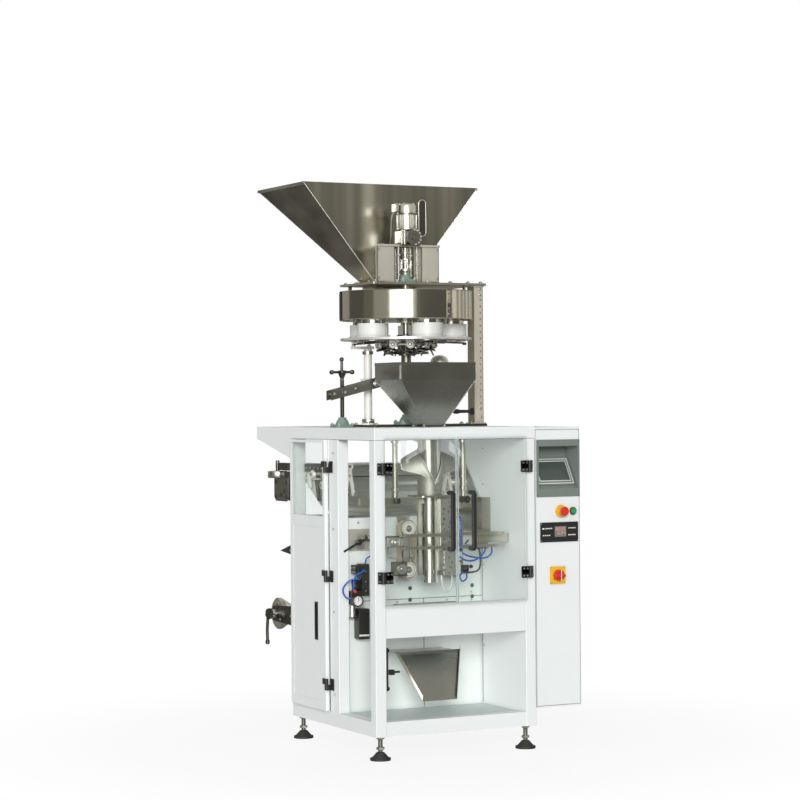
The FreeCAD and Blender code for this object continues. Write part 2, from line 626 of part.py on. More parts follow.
def make_film_path():
    """Film rollers inside, and the film roll with its arms at the back."""
    x0, x1 = POST, FRAME_W - POST
    back = FRAME_D - POST - 2
    inside = [rod((x0 + 2, y, z), (x1 - 2, y, z), r) for y, z, r in
              ((ROLLER_Y, ROLLER_Z, ROLLER_R), (DANCER_Y, DANCER_Z, DANCER_R),
               (DANCER_Y + 100, DANCER_Z + 47, GUIDE_R), (DANCER_Y - 40, DANCER_Z + 72, GUIDE_R))]
    inside.append(box(x0 + 2, x1 - 2, DANCER_Y + 40, DANCER_Y + 46, DANCER_Z - 88, DANCER_Z - 23))
    for x in (x0, x1 - CHEEK_T):
        pts = [(x, WALL_Y + 10, WALL_TOP + 8), (x, WALL_Y + 90, WALL_TOP + 8),
               (x, DANCER_Y + 40, DANCER_Z - 90), (x, back, DANCER_Z + 7),
               (x, back, DANCER_Z + 97), (x, DANCER_Y - 60, DANCER_Z + 97),
               (x, WALL_Y + 10, WALL_TOP + 76)]
        inside.append(prism(pts, (CHEEK_T, 0, 0)))
    add("film_rollers", fuse(inside))
    arms = []
    bore = rod((-40, ROLL_Y, ROLL_Z), (FRAME_W + 40, ROLL_Y, ROLL_Z), ROLL_SHAFT_R + SHAFT_FIT)
    y, z = FRAME_D, ROLL_Z
    reach = ROLL_Y - y
    guide_y, guide_z = y + GUIDE_REACH, REAR_BEAM_Z0 - 35
    for x in (ARM_IN, FRAME_W - ARM_IN - ARM_T):
        low = prism([(x, y, z + 46), (x, y, z - 44), (x, y + reach + 35, z - 34), (x, y + reach + 75, z),
                     (x, y + reach + 35, z + 34)], (ARM_T, 0, 0))
        high = prism([(x, y, guide_z + 10), (x, y, guide_z - 100), (x, guide_y + 25, guide_z - 70),
                      (x, guide_y + 25, guide_z)], (ARM_T, 0, 0))
        hook = prism([(x, y, z + 331), (x, y, z + 276), (x, y + HOOK_REACH, z + 291)], (ARM_T, 0, 0))
        arms.append((low.cut(bore), high, hook))
    guide = rod((ARM_IN, guide_y, guide_z), (FRAME_W - ARM_IN, guide_y, guide_z), GUIDE_TUBE_R)
    (low_a, high_a, hook_a), (low_b, high_b, hook_b) = arms
    add("film_roll_carrier", low_a, low_b, hook_a, hook_b, fuse([high_a, high_b, guide]))
    shaft = rod((-16, ROLL_Y, ROLL_Z), (FRAME_W - 6, ROLL_Y, ROLL_Z), ROLL_SHAFT_R)
    flank = ARM_IN + ARM_T * 2
    chuck = cone((flank, ROLL_Y, ROLL_Z), (flank + CHUCK_L, ROLL_Y, ROLL_Z), CHUCK_R, CHUCK_R * 0.57)
    add("film_roll_shaft", fuse([shaft, chuck, mirrored(chuck)]))


def make_air():
    """Air service unit, valve, switch box and hoses on the inner wall."""
    y = WALL_Y
    body = fuse([box(52, 98, y - 58, y, 630, 690), rod((66, y - 30, 575), (66, y - 30, 630), 16),
                 rod((80, y - 30, 690), (80, y - 30, 722), 13), box(40 + 12, 60, y - 40, y - 20, 655, 675)])
    gauge = rod((70, y - 80, 650), (70, y - 58, 650), 23)
    add("air_regulator", fuse([body, gauge]))
    add("valve_island", fuse([box(104, 140, y - 50, y, 668, 806), box(76, 104, y - 40, y, 764, 802)]))
    add("switch_box", soft_box(90, 142, y - 45, y, 479, 612, 4, "y"))
    seat = SEAL_BAR_Z[1] + SEAL_BAR
    x = AXIS_X + 68
    hoses = [[(110, y - 50, 780), (110, y - 78, 780), (66, y - 78, 765), (66, y - 46, 735),
              (66, y - 46, 690)],
             [(x, y, WALL_TOP - 19), (x, SEAL_Y + 7, WALL_TOP - 19), (x, SEAL_Y + 7, seat)]]
    add("air_hoses", *[bent_tube(points, HOSE_R, HOSE_BEND) for points in hoses])


def make_plates():
    """Base plate, column, top plate and the fixed ring hung from it."""
    z = DECK_TOP
    add("base_plate", soft_box(PLATE_X0, PLATE_X1, PLATE_Y0, BASE_Y1, z, z + PLATE_T, 6))
    add("column", soft_box(COLUMN_X0, COLUMN_X0 + COLUMN_W, COLUMN_Y0, COLUMN_Y0 + COLUMN_D,
                           z + PLATE_T, TOP_PLATE_Z, 2))
    top_z = TOP_PLATE_Z + PLATE_T
    top = soft_box(PLATE_X0, PLATE_X1, PLATE_Y0, TOP_Y1, TOP_PLATE_Z, top_z, 6)
    gap = NECK_GAP
    half = HOP_OUT_HALF + gap
    outlet = (AXIS_X - half, AXIS_X + half, HOP_Y0 - gap, HOP_OUT_Y1 + gap)
    top = top.cut(box(*outlet, TOP_PLATE_Z - 1, top_z + 1))
    top = top.cut(on_spindle(TOP_PLATE_Z - 1, top_z + 1, SPINDLE_R + SHAFT_FIT))
    ring_top = RING_Z0 + RING_H
    inner = AXIS_X + RING_R - RING_T - SEAM
    hanger = fuse([box(inner - 12, inner - 6, SPIN_Y - 12, SPIN_Y + 12, ring_top - 14, TOP_PLATE_Z),
                   box(inner - 12, inner - 1, SPIN_Y - 12, SPIN_Y + 12, ring_top - 14, ring_top - 8)])
    add("top_plate", fuse([top] + [turned(hanger, turn) for turn in HANGER_TURNS]))
    inner, outer = RING_R - RING_T, RING_R
    edge = outer + RING_BEAD
    z0, z1, b = RING_Z0, ring_top, RING_BEAD
    profile = [(inner, z0), (edge, z0), (edge, z0 + b), (outer, z0 + b), (outer, z1 - b), (edge, z1 - b),
               (edge, z1), (inner, z1)]
    pts = [V(AXIS_X + r, SPIN_Y, z) for r, z in profile]
    face = Part.Face(Part.makePolygon(pts + pts[:1]))
    add("product_ring", face.revolve(V(AXIS_X, SPIN_Y, 0), V(0, 0, 1), 360))


def make_rotor():
    """Spindle and upper disc, and the lower disc that slides on it with the cups and flaps."""
    z_low = DECK_TOP + PLATE_T
    stop = on_spindle(UPPER_Z - STOP_H, UPPER_Z, STOP_R)
    add("spindle", on_spindle(z_low, TOP_PLATE_Z + PLATE_T + BRACKET_H - 4, SPINDLE_R).fuse(stop))
    top = UPPER_Z + UPPER_T
    disc_top = DISC_Z + DISC_T
    y = SPIN_Y - CUP_PITCH_R
    arm = box(AXIS_X - 9, AXIS_X + 9, SPIN_Y + HUB_R - 2, SPIN_Y + CAM_REACH, CAM_Z + 6, CAM_Z + 18)
    arms = [turned(arm, 360.0 * (i + 0.5) / CUPS) for i in range(CUPS)]
    sleeve = fuse([on_spindle(COLLAR_Z, DISC_Z, HUB_R), on_spindle(COLLAR_Z, COLLAR_Z + COLLAR_H, COLLAR_R),
                   on_spindle(CAM_Z, CAM_Z + CAM_H, CAM_R)] + arms)
    add("lift_sleeve", sleeve.cut(on_spindle(COLLAR_Z - 1, DISC_Z + 1, SPINDLE_R + SHAFT_FIT)))

    def at_cup(z0, z1, r):
        """A round piece on the front cup's axis."""
        return rod((AXIS_X, y, z0), (AXIS_X, y, z1), r)

    upper = on_spindle(UPPER_Z, top, RING_R - RING_T - RING_CLEAR).cut(on_spindle(UPPER_Z, top, SPINDLE_R))
    lower = on_spindle(DISC_Z, disc_top, DISC_R).cut(on_spindle(DISC_Z, disc_top, SPINDLE_R + SHAFT_FIT))
    metal_r = CUP_BORE_R - CUP_FIT
    metal = at_cup(disc_top + METAL_GAP, top, metal_r).cut(at_cup(disc_top, top, metal_r - METAL_T))
    white = at_cup(disc_top, disc_top + CUP_H, CUP_R)
    white = white.fuse(at_cup(disc_top, disc_top + CUP_FLANGE_T, CUP_R + 8))
    white = white.cut(at_cup(disc_top, disc_top + CUP_H, CUP_BORE_R))
    pin_y, pin_z = y + FLAP_R + 14, DISC_Z - LUG_H + 8
    lugs = [box(AXIS_X + s * 20 - 2, AXIS_X + s * 20 + 2, pin_y - 8, pin_y + 8, DISC_Z - LUG_H, DISC_Z)
            for s in (-1, 1)]
    flap = fuse([at_cup(DISC_Z - FLAP_T - 1, DISC_Z - 1, FLAP_R),
                 box(AXIS_X - 9, AXIS_X + 9, y + 10, pin_y, DISC_Z - FLAP_T - 5, DISC_Z - FLAP_T),
                 box(AXIS_X - 9, AXIS_X + 9, pin_y - 7, pin_y + 7, pin_z, DISC_Z - FLAP_T),
                 rod((AXIS_X - 28, pin_y, pin_z), (AXIS_X + 28, pin_y, pin_z), 5)] + lugs)
    whites, metals, flaps = [], [], []
    for i in range(CUPS):
        turn = 360.0 * i / CUPS
        lower = lower.cut(turned(at_cup(DISC_Z, disc_top, CUP_BORE_R), turn))
        upper = upper.cut(turned(at_cup(UPPER_Z, top, metal_r), turn))
        whites.append(turned(white, turn))
        metals.append(turned(metal, turn))
        flaps.append(turned(flap, turn))
    add("upper_disc", upper)
    add("metal_cups", *metals)
    add("lower_disc", lower)
    add("measuring_cups", *whites)
    add("cup_flaps", *flaps)


def make_funnel():
    """Discharge funnel: a square skirt that tapers to the tube mouth."""
    t, r = FUN_T, FUN_MOUTH
    z0 = DECK_TOP
    x, y = AXIS_X, TUBE_Y

    def shape(g, z_top):
        """Skirt and taper drawn in by g."""
        taper = level_taper((x - r + g, x + r - g, y - r + g, y + r - g, z0),
                            (FUN_X0 + g, FUN_X1 - g, FUN_Y0 + g, FUN_Y1 - g, FUN_SKIRT))
        return fuse([box(FUN_X0 + g, FUN_X1 - g, FUN_Y0 + g, FUN_Y1 - g, FUN_SKIRT, z_top), taper])

    seat = box(x - r - 12, x + r + 12, y - r - 12, y + r + 12, z0, z0 + 3)
    seat = seat.cut(box(x - r + t, x + r - t, y - r + t, y + r - t, z0, z0 + 3))
    add("discharge_funnel", fuse([shape(0, FUN_TOP).cut(shape(t, FUN_TOP)), seat]))


def make_hopper():
    """Bulk hopper with a straight front, a sight window frame and a neck into the ring."""
    t = HOP_T
    xa, xb = AXIS_X - HOP_OUT_HALF, AXIS_X + HOP_OUT_HALF
    z0 = TOP_PLATE_Z + PLATE_T

    def shape(g):
        """The tapered body drawn in by g."""
        return level_taper((xa + g, xb - g, HOP_Y0 + g, HOP_OUT_Y1 - g, z0),
                           (HOP_X0 + g, HOP_X1 - g, HOP_Y0 + g, HOP_Y1 - g, HOP_TOP))

    lip = HOP_TOP - HOP_LIP
    rim = box(HOP_X0, HOP_X1, HOP_Y0, HOP_Y1, lip, HOP_TOP)
    rim = rim.cut(box(HOP_X0 + t, HOP_X1 - t, HOP_Y0 + t, HOP_Y1 - t, lip, HOP_TOP))
    flange = box(xa - 25, xb + 25, HOP_Y0 - 20, HOP_OUT_Y1 + 25, z0, z0 + 4)
    neck = box(xa, xb, HOP_Y0, HOP_OUT_Y1, NECK_Z0, z0 + 4)
    through = box(xa + t, xb - t, HOP_Y0 + t, HOP_OUT_Y1 - t, NECK_Z0, z0 + 5)
    body = fuse([shape(0).cut(shape(t)), rim, flange, neck]).cut(through)
    w, h = WINDOW_W / 2, WINDOW_H / 2
    frame = soft_box(WINDOW_X - w, WINDOW_X + w, HOP_Y0 - 4, HOP_Y0, WINDOW_Z - h, WINDOW_Z + h, w - 1, "y")
    add("bulk_hopper", fuse([body.cut(shape(t)), frame]))


def make_drive():
    """Motor bracket and the geared motor on it."""
    z0 = TOP_PLATE_Z + PLATE_T
    z1 = z0 + BRACKET_H
    t = BRACKET_T
    y0, y1 = BRACKET_Y0, BRACKET_Y0 + BRACKET_D
    xo = AXIS_X - BRACKET_HALF
    side = fuse([box(xo, xo + FLANGE_W, y0, y0 + t, z0, z1), box(xo, xo + t, y0, y1, z0, z1),
                 box(xo, xo + 40, y0, y1, z0, z0 + t)])
    top = box(xo - 4, 2 * AXIS_X - xo + 4, y0 - 4, y1 + 2, z1, z1 + 10)
    top = top.cut(on_spindle(z1 - 1, z1 + 11, SPINDLE_R + 3))
    add("motor_bracket", fuse([side, mirrored(side), top]))
    gx = AXIS_X + 12
    z2 = z1 + 10
    z3 = z2 + GEAR_H
    z4 = z3 + MOTOR_H
    mx, my = gx - 8, SPIN_Y + 1
    gear = soft_box(gx - 40, gx + 38, SPIN_Y - 39, SPIN_Y + 45, z2, z3, 8)
    motor = rod((mx, my, z3), (mx, my, z4), MOTOR_R)
    cap = rod((mx, my, z4), (mx, my, z4 + MOTOR_CAP_H), MOTOR_R + 2)
    terminal = box(gx - 74, gx - 46, SPIN_Y - 21, SPIN_Y + 23, z4 + 1, z4 + 41)
    link = box(gx - 48, gx - 30, SPIN_Y - 9, SPIN_Y + 11, z4 + 8, z4 + 33)
    add("gear_motor", fuse([gear, motor, cap, terminal, link]))


def make_adjuster():
    """Trip post, tilting lever, sliding nut, screw and star handle that set the cup volume."""
    px, py = POST_X, POST_Y
    z0 = DECK_TOP + PLATE_T
    y_end = LEVER_Y + LEVER_SPAN
    top = POST_TOP + TRIP_T
    post = fuse([rod((px, py, z0), (px, py, POST_TOP), POST_R), rod((px, py, z0), (px, py, z0 + 8), 30),
                 box(px - 78, px + 26, py - 14, py + 14, POST_TOP, top),
                 box(px - 78, px - 68, py - 5, py + 5, top, top + 8),
                 box(px - 24, px + 24, y_end + SEAM, py + 26, LEVER_Z - 22, LEVER_Z + 22)])
    pivot = rod((px, LEVER_Y - 6, LEVER_Z), (px, y_end + 1, LEVER_Z), ROLLER_PIN_R)
    add("trip_post", fuse([post, pivot]))
    # The lever's centre line runs from the screw, over the pivot, to the rollers under the collar
    reach_s, reach_c = px - SCREW_X, AXIS_X - px
    roller_z = COLLAR_Z - KNUCKLE_GAP - ROLLER_PIN_R
    rise = (roller_z - LEVER_Z) / reach_c
    zs = LEVER_Z - reach_s * rise
    h = LEVER_H / 2
    lever = []
    for y in (LEVER_Y, y_end - LEVER_T):
        xa, xb = SCREW_X - LEVER_TAIL, AXIS_X + 6
        pts = [(xa, y, LEVER_Z - (px - xa) * rise - h), (xb, y, LEVER_Z + (xb - px) * rise - h),
               (xb, y, roller_z), (xb - 24, y, roller_z - 24 * rise + h * 0.6),
               (px + 40, y, LEVER_Z + 40 * rise + h), (xa, y, LEVER_Z - (px - xa) * rise + h)]
        plate = prism(pts, (0, LEVER_T, 0))
        lever.append(plate.fuse(rod((AXIS_X, y, roller_z), (AXIS_X, y + LEVER_T, roller_z), ROLLER_PIN_R)))
    tie_x = SCREW_X - LEVER_TAIL + 20
    tie_z = LEVER_Z - (px - tie_x) * rise
    lever.append(rod((tie_x, LEVER_Y, tie_z), (tie_x, y_end, tie_z), 9))
    body = fuse(lever)
    body = body.cut(rod((px, LEVER_Y - 10, LEVER_Z), (px, y_end + 10, LEVER_Z), ROLLER_PIN_R + PIN_FIT))
    nut_pin = rod((SCREW_X, LEVER_Y - 4, zs), (SCREW_X, y_end + 4, zs), NUT_PIN_R)
    slot = box(SCREW_X - 12, SCREW_X + 12, LEVER_Y - 10, y_end + 10, zs - 9, zs + 9)
    add("adjusting_lever", body.cut(slot))
    n = NUT_HALF
    block = box(SCREW_X - n, SCREW_X + n, LEVER_Y + LEVER_T + 2, y_end - LEVER_T - 2, zs - n, zs + n)
    thread = rod((SCREW_X, SPIN_Y, DECK_TOP), (SCREW_X, SPIN_Y, HANDLE_HUB_Z), SCREW_R + SHAFT_FIT)
    add("lever_nut", fuse([block, nut_pin]).cut(thread))
    sx, sy, hub = SCREW_X, SPIN_Y, HANDLE_HUB_Z
    arms = []
    for turn in (0, 120, 240):
        a = math.radians(turn + 5)
        tip = (sx + 44 * math.cos(a), sy + 44 * math.sin(a), hub + 7)
        arms.append(rod((sx, sy, hub + 7), tip, 5.5))
    grip = rod((sx - 5, sy - 8, hub + 10), (sx - 5, sy - 8, hub + 58), 6)
    add("star_handle", fuse([rod((sx, sy, DECK_TOP), (sx, sy, hub - 20), SCREW_R),
                             cone((sx, sy, hub - 20), (sx, sy, hub), SCREW_R, 17),
                             rod((sx, sy, hub), (sx, sy, hub + 14), 17), grip] + arms))

    def bearing(x, y, z, r, bore):
        """A flange bearing with a collar."""
        solid = fuse([soft_box(x - r, x + r, y - r, y + r, z, z + 13, r * 0.4),
                      cone((x, y, z + 13), (x, y, z + 34), r * 0.72, r * 0.5),
                      rod((x, y, z + 34), (x, y, z + 44), r * 0.42)])
        return solid.cut(rod((x, y, z - 1), (x, y, z + 50), bore + SHAFT_FIT))

    top = TOP_PLATE_Z + PLATE_T
    add("flange_bearings", bearing(sx, sy, DECK_TOP, 44, SCREW_R), bearing(AXIS_X, sy, z0, 48, SPINDLE_R),
        bearing(AXIS_X, sy, top, 40, SPINDLE_R))


def main():
    """Build every node, move it to the row origin and write it."""
    make_frame()
    make_deck()
    make_feet()
    make_cabinet()
    make_controls()
    make_doors()
    make_tube()
    make_belts()
    make_seal()
    make_chute()
    make_film_path()
    make_air()
    make_plates()
    make_rotor()
    make_funnel()
    make_hopper()
    make_drive()
    make_adjuster()
    os.makedirs("parts", exist_ok=True)
    for name, shape in NODES.items():
        shape.translate(ORIGIN * -1)
        shape.exportStep("parts/%s.step" % name)


main()
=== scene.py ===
import math

import bpy
from bpy.props import FloatProperty, FloatVectorProperty, PointerProperty
from bpy.types import Operator, Panel, PropertyGroup
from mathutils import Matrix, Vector


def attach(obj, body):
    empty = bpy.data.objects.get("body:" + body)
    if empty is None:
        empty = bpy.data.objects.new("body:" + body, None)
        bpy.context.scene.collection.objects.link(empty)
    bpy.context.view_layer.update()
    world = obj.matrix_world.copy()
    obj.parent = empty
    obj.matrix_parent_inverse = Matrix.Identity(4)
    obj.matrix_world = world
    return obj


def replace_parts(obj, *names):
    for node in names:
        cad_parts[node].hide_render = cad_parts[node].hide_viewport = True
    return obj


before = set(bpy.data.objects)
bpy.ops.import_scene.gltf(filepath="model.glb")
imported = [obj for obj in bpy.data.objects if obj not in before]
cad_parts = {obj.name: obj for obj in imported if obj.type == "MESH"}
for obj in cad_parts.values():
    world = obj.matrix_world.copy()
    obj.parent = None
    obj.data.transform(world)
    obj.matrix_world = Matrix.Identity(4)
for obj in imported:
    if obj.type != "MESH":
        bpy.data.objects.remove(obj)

bl_info = {
    "name": "Volumetric Cup Filler",
    "version": (1, 0, 0),
    "blender": (4, 5, 0),
    "location": "View3D > Sidebar > Filler",
    "description": "Finishes, fasteners and small fittings of a volumetric cup filler on its bagging machine",
    "category": "Object",
}

# Machine millimetres to row metres
ORIGIN_X = 478.0
ORIGIN_Y = 583.0

# Upright axes in machine millimetres: spindle, forming tube, volume screw, lever post and motor
SPIN = (389.0, 457.0)
TUBE = (389.0, 245.0)
SCREW = (72.0, 457.0)
POST = (224.0, 508.0)
MOTOR = (397.0, 458.0)

# Depth and height of the film shaft
ROLL_Y = 1040.0
ROLL_Z = 544.0

# Faces that fittings stand on, in machine millimetres
WALL_FRONT = 390.0
PLATE_TOP = 1410.0
UPPER_TOP = 2041.0
FOOT_TOP = 2045.0
HOPPER_TOP = 2487.0

CUP_CIRCLE = 205.0
CUPS = 5

# Shared by the finishes: reach of the painted shade in seams and corners, in metres, and the clear sheet's
# index
SHADE_REACH = 0.02
GLASS_IOR = 1.38

# Stage: height of the reflection cards in metres, and the mirrored room below and above
CARD_HEIGHT = 1.9
ROOM_LOW = (0.17, 0.165, 0.145)
ROOM_HIGH = (0.50, 0.485, 0.43)

FRONT = (0, -1, 0)
BACK = (0, 1, 0)
LEFT = (-1, 0, 0)
RIGHT = (1, 0, 0)
UP = (0, 0, 1)
DOWN = (0, 0, -1)


def place(p):
    """A point in machine millimetres as row metres."""
    return Vector(((p[0] - ORIGIN_X) / 1000, (p[1] - ORIGIN_Y) / 1000, p[2] / 1000))


def around(axis):
    """Two unit vectors square to an axis, and the axis itself."""
    w = Vector(axis).normalized()
    u = w.orthogonal().normalized()
    return u, w.cross(u), w


def spun(p, degrees, centre=SPIN):
    """A point turned about an upright axis."""
    a = math.radians(degrees)
    dx, dy = p[0] - centre[0], p[1] - centre[1]
    x = centre[0] + dx * math.cos(a) - dy * math.sin(a)
    y = centre[1] + dx * math.sin(a) + dy * math.cos(a)
    return (x, y, p[2])


def polar(centre, radius, degrees, z):
    """A point at a distance and an angle from an upright axis."""
    a = math.radians(degrees)
    return (centre[0] + radius * math.cos(a), centre[1] + radius * math.sin(a), z)


def add_object(name, data):
    """A new object in the scene."""
    obj = bpy.data.objects.new(name, data)
    bpy.context.scene.collection.objects.link(obj)
    return obj


class Piece:
    """Collects faces in machine millimetres and turns them into one mesh object."""

    def __init__(self):
        self.verts = []
        self.faces = []

    def add(self, verts, faces):
        """Append vertices with faces that count from their own first vertex."""
        start = len(self.verts)
        self.verts += [tuple(v) for v in verts]
        self.faces += [[start + i for i in face] for face in faces]

    def lathe(self, base, axis, profile, sides=20):
        """A turned form: profile lists (distance along the axis, radius), ends capped."""
        u, v, w = around(axis)
        base = Vector(base)
        verts = []
        for along, radius in profile:
            for k in range(sides):
                a = 2 * math.pi * k / sides
                verts.append(base + w * along + u * (radius * math.cos(a)) + v * (radius * math.sin(a)))
        faces = []
        for i in range(len(profile) - 1):
            for k in range(sides):
                m = (k + 1) % sides
                faces.append([i * sides + k, i * sides + m, (i + 1) * sides + m, (i + 1) * sides + k])
        faces.append(list(range(sides))[::-1])
        faces.append([(len(profile) - 1) * sides + k for k in range(sides)])
        self.add(verts, faces)

    def ring(self, base, axis, profile, sides=32):
        """A turned form whose profile closes on itself, such as a collar."""
        u, v, w = around(axis)
        base = Vector(base)
        n = len(profile)
        verts = []
        for k in range(sides):
            a = 2 * math.pi * k / sides
            side = u * math.cos(a) + v * math.sin(a)
            verts += [base + w * along + side * radius for along, radius in profile]
        faces = []
        for k in range(sides):
            m = (k + 1) % sides
            for i in range(n):
                j = (i + 1) % n
                faces.append([k * n + i, k * n + j, m * n + j, m * n + i])
        self.add(verts, faces)

    def block(self, x0, x1, y0, y1, z0, z1, r=1.0):
        """A box with chamfered edges."""
        r = min(r, (x1 - x0) / 3, (y1 - y0) / 3, (z1 - z0) / 3)
        lo, hi = (x0, y0, z0), (x1, y1, z1)
        verts, index = [], {}
        for sx in (0, 1):
            for sy in (0, 1):
                for sz in (0, 1):
                    for out in range(3):
                        p = []
                        for k, s in enumerate((sx, sy, sz)):
                            edge = hi[k] if s else lo[k]
                            p.append(edge if k == out else edge + (r if not s else -r))
                        index[(sx, sy, sz, out)] = len(verts)
                        verts.append(p)
        faces = []
        for out in range(3):
            a, b = [k for k in range(3) if k != out]
            for s in (0, 1):
                loop = []
                for ta, tb in ((0, 0), (1, 0), (1, 1), (0, 1)):
                    key = [0, 0, 0]
                    key[out], key[a], key[b] = s, ta, tb
                    loop.append(index[tuple(key) + (out,)])
                faces.append(loop)
            for ta in (0, 1):
                for tb in (0, 1):
                    key0, key1 = [0, 0, 0], [0, 0, 0]
                    key0[a] = key1[a] = ta
                    key0[b] = key1[b] = tb
                    key1[out] = 1
                    faces.append([index[tuple(key0) + (a,)], index[tuple(key0) + (b,)],
                                  index[tuple(key1) + (b,)], index[tuple(key1) + (a,)]])
        for sx in (0, 1):
            for sy in (0, 1):
                for sz in (0, 1):
                    faces.append([index[(sx, sy, sz, out)] for out in range(3)])
        self.add(verts, faces)

    def slab(self, outline, along, r=0.8):
        """A flat outline pushed along a vector, with a chamfer round both ends."""
        pts = [Vector(p) for p in outline]
        push = Vector(along)
        n = len(pts)
        middle = sum(pts, Vector()) / n
        inset = [p + (middle - p).normalized() * r for p in pts]
        nudge = push.normalized() * min(r, push.length / 3)
        verts = inset + [p + nudge for p in pts] + [p + push - nudge for p in pts] + [p + push for p in inset]
        faces = [list(range(n))[::-1], [3 * n + k for k in range(n)]]
        for i in range(3):
            for k in range(n):
                m = (k + 1) % n
                faces.append([i * n + k, i * n + m, (i + 1) * n + m, (i + 1) * n + k])
        self.add(verts, faces)

    def tube(self, points, r, sides=10):
        """A round tube through points."""
        pts = [Vector(p) for p in points]
        u = around(pts[1] - pts[0])[0]
        verts = []
        for i, p in enumerate(pts):
            ahead = (pts[min(i + 1, len(pts) - 1)] - pts[max(i - 1, 0)]).normalized()
            u = (u - ahead * u.dot(ahead)).normalized()
            v = ahead.cross(u)
            for k in range(sides):
                a = 2 * math.pi * k / sides
                verts.append(p + u * (r * math.cos(a)) + v * (r * math.sin(a)))
        faces = []
        for i in range(len(pts) - 1):
            for k in range(sides):
                m = (k + 1) % sides
                faces.append([i * sides + k, i * sides + m, (i + 1) * sides + m, (i + 1) * sides + k])
        faces.append(list(range(sides))[::-1])
        faces.append([(len(pts) - 1) * sides + k for k in range(sides)])
        self.add(verts, faces)

    def hose(self, points, r, steps=6, sides=10):
        """A smooth tube through points."""
        pts = [Vector(p) for p in points]
        pts = [pts[0] * 2 - pts[1]] + pts + [pts[-1] * 2 - pts[-2]]
        path = []
        for a, b, c, d in zip(pts, pts[1:], pts[2:], pts[3:]):
            for k in range(steps):
                t = k / steps
                path.append(0.5 * (2 * b + (c - a) * t + (2 * a - 5 * b + 4 * c - d) * t * t
                                   + (3 * b - a - 3 * c + d) * t ** 3))
        self.tube(path + [pts[-2]], r, sides)

    def bolt(self, p, axis, r):
        """A hexagon head, its washer and the end of its thread, standing on a face at p."""
        w = Vector(axis).normalized()
        washer = r * 0.2
        self.lathe(p, axis, [(0, r * 1.35), (r * 0.18, r * 1.35), (r * 0.24, r * 1.25)], 18)
        self.lathe(Vector(p) + w * washer, axis, [(0, r), (r * 0.62, r), (r * 0.72, r * 0.86)], 6)
        self.lathe(Vector(p) + w * (washer + r * 0.7), axis,
                   [(0, r * 0.45), (r * 0.28, r * 0.45), (r * 0.36, r * 0.36)], 12)

    def cap_screw(self, p, axis, r):
        """A socket head screw: a round head with a hexagon recess."""
        head = [(0, r * 0.45), (0, r), (r * 0.8, r), (r, r * 0.86), (r, r * 0.5), (r * 0.4, r * 0.45)]
        self.ring(p, axis, head, 18)
        self.lathe(p, axis, [(0, r * 0.46), (r * 0.42, r * 0.46)], 6)

    def build(self, name, material, ride="machine", smooth=38.0):
        """Make the object, give it its material and let it ride on a body."""
        mesh = bpy.data.meshes.new(name)
        mesh.from_pydata([place(p) for p in self.verts], [], self.faces)
        mesh.materials.append(FINISHES[material])
        mesh.validate()
        mesh.polygons.foreach_set("use_smooth", [True] * len(mesh.polygons))
        mesh.set_sharp_from_angle(angle=math.radians(smooth))
        mesh.update()
        obj = add_object(name, mesh)
        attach(obj, ride)
        return obj


# Shader groups


def new_node(tree, kind, operation=None, **values):
    """A node of a kind, with its operation and its input numbers set."""
    node = tree.nodes.new("ShaderNode" + kind)
    if operation:
        node.operation = operation
    for label, value in values.items():
        node.inputs[label.replace("_", " ")].default_value = value
    return node


def group(name, outputs, inputs):
    """A new shader group with named outputs and number inputs, and the nodes at its two ends."""
    tree = bpy.data.node_groups.new(name, "ShaderNodeTree")
    for label in outputs:
        kind = "NodeSocketVector" if label == "Normal" else "NodeSocketFloat"
        tree.interface.new_socket(name=label, in_out="OUTPUT", socket_type=kind)
    for label, value in inputs:
        socket = tree.interface.new_socket(name=label, in_out="INPUT", socket_type="NodeSocketFloat")
        socket.default_value = value
    return tree, tree.nodes.new("NodeGroupInput"), tree.nodes.new("NodeGroupOutput")


def stretched(tree, entry):
    """Object coordinates, plain and stretched by the group's numbers for each axis."""
    coord = new_node(tree, "TexCoord")
    across = new_node(tree, "CombineXYZ")
    for axis in "XYZ":
        tree.links.new(entry.outputs["Across " + axis], across.inputs[axis])
    scaled = new_node(tree, "VectorMath", "MULTIPLY")
    tree.links.new(coord.outputs["Object"], scaled.inputs[0])
    tree.links.new(across.outputs["Vector"], scaled.inputs[1])
    return coord.outputs["Object"], scaled.outputs["Vector"]


def mottle_group():
    """Slow and fine unevenness of a painted or moulded face, and its relief."""
    tree, entry, out = group("Mottle", ("Mask", "Normal"),
                             (("Scale", 6.0), ("Grain", 900.0), ("Relief", 0.02)))
    coord = new_node(tree, "TexCoord")
    slow = new_node(tree, "TexNoise", Detail=4)
    fine = new_node(tree, "TexNoise", Detail=2)
    bump = new_node(tree, "Bump", Distance=0.0006)
    link = tree.links.new
    link(coord.outputs["Object"], slow.inputs["Vector"])
    link(coord.outputs["Object"], fine.inputs["Vector"])
    link(entry.outputs["Scale"], slow.inputs["Scale"])
    link(entry.outputs["Grain"], fine.inputs["Scale"])
    link(entry.outputs["Relief"], bump.inputs["Strength"])
    link(fine.outputs["Fac"], bump.inputs["Height"])
    link(slow.outputs["Fac"], out.inputs["Mask"])
    link(bump.outputs["Normal"], out.inputs["Normal"])
    return tree


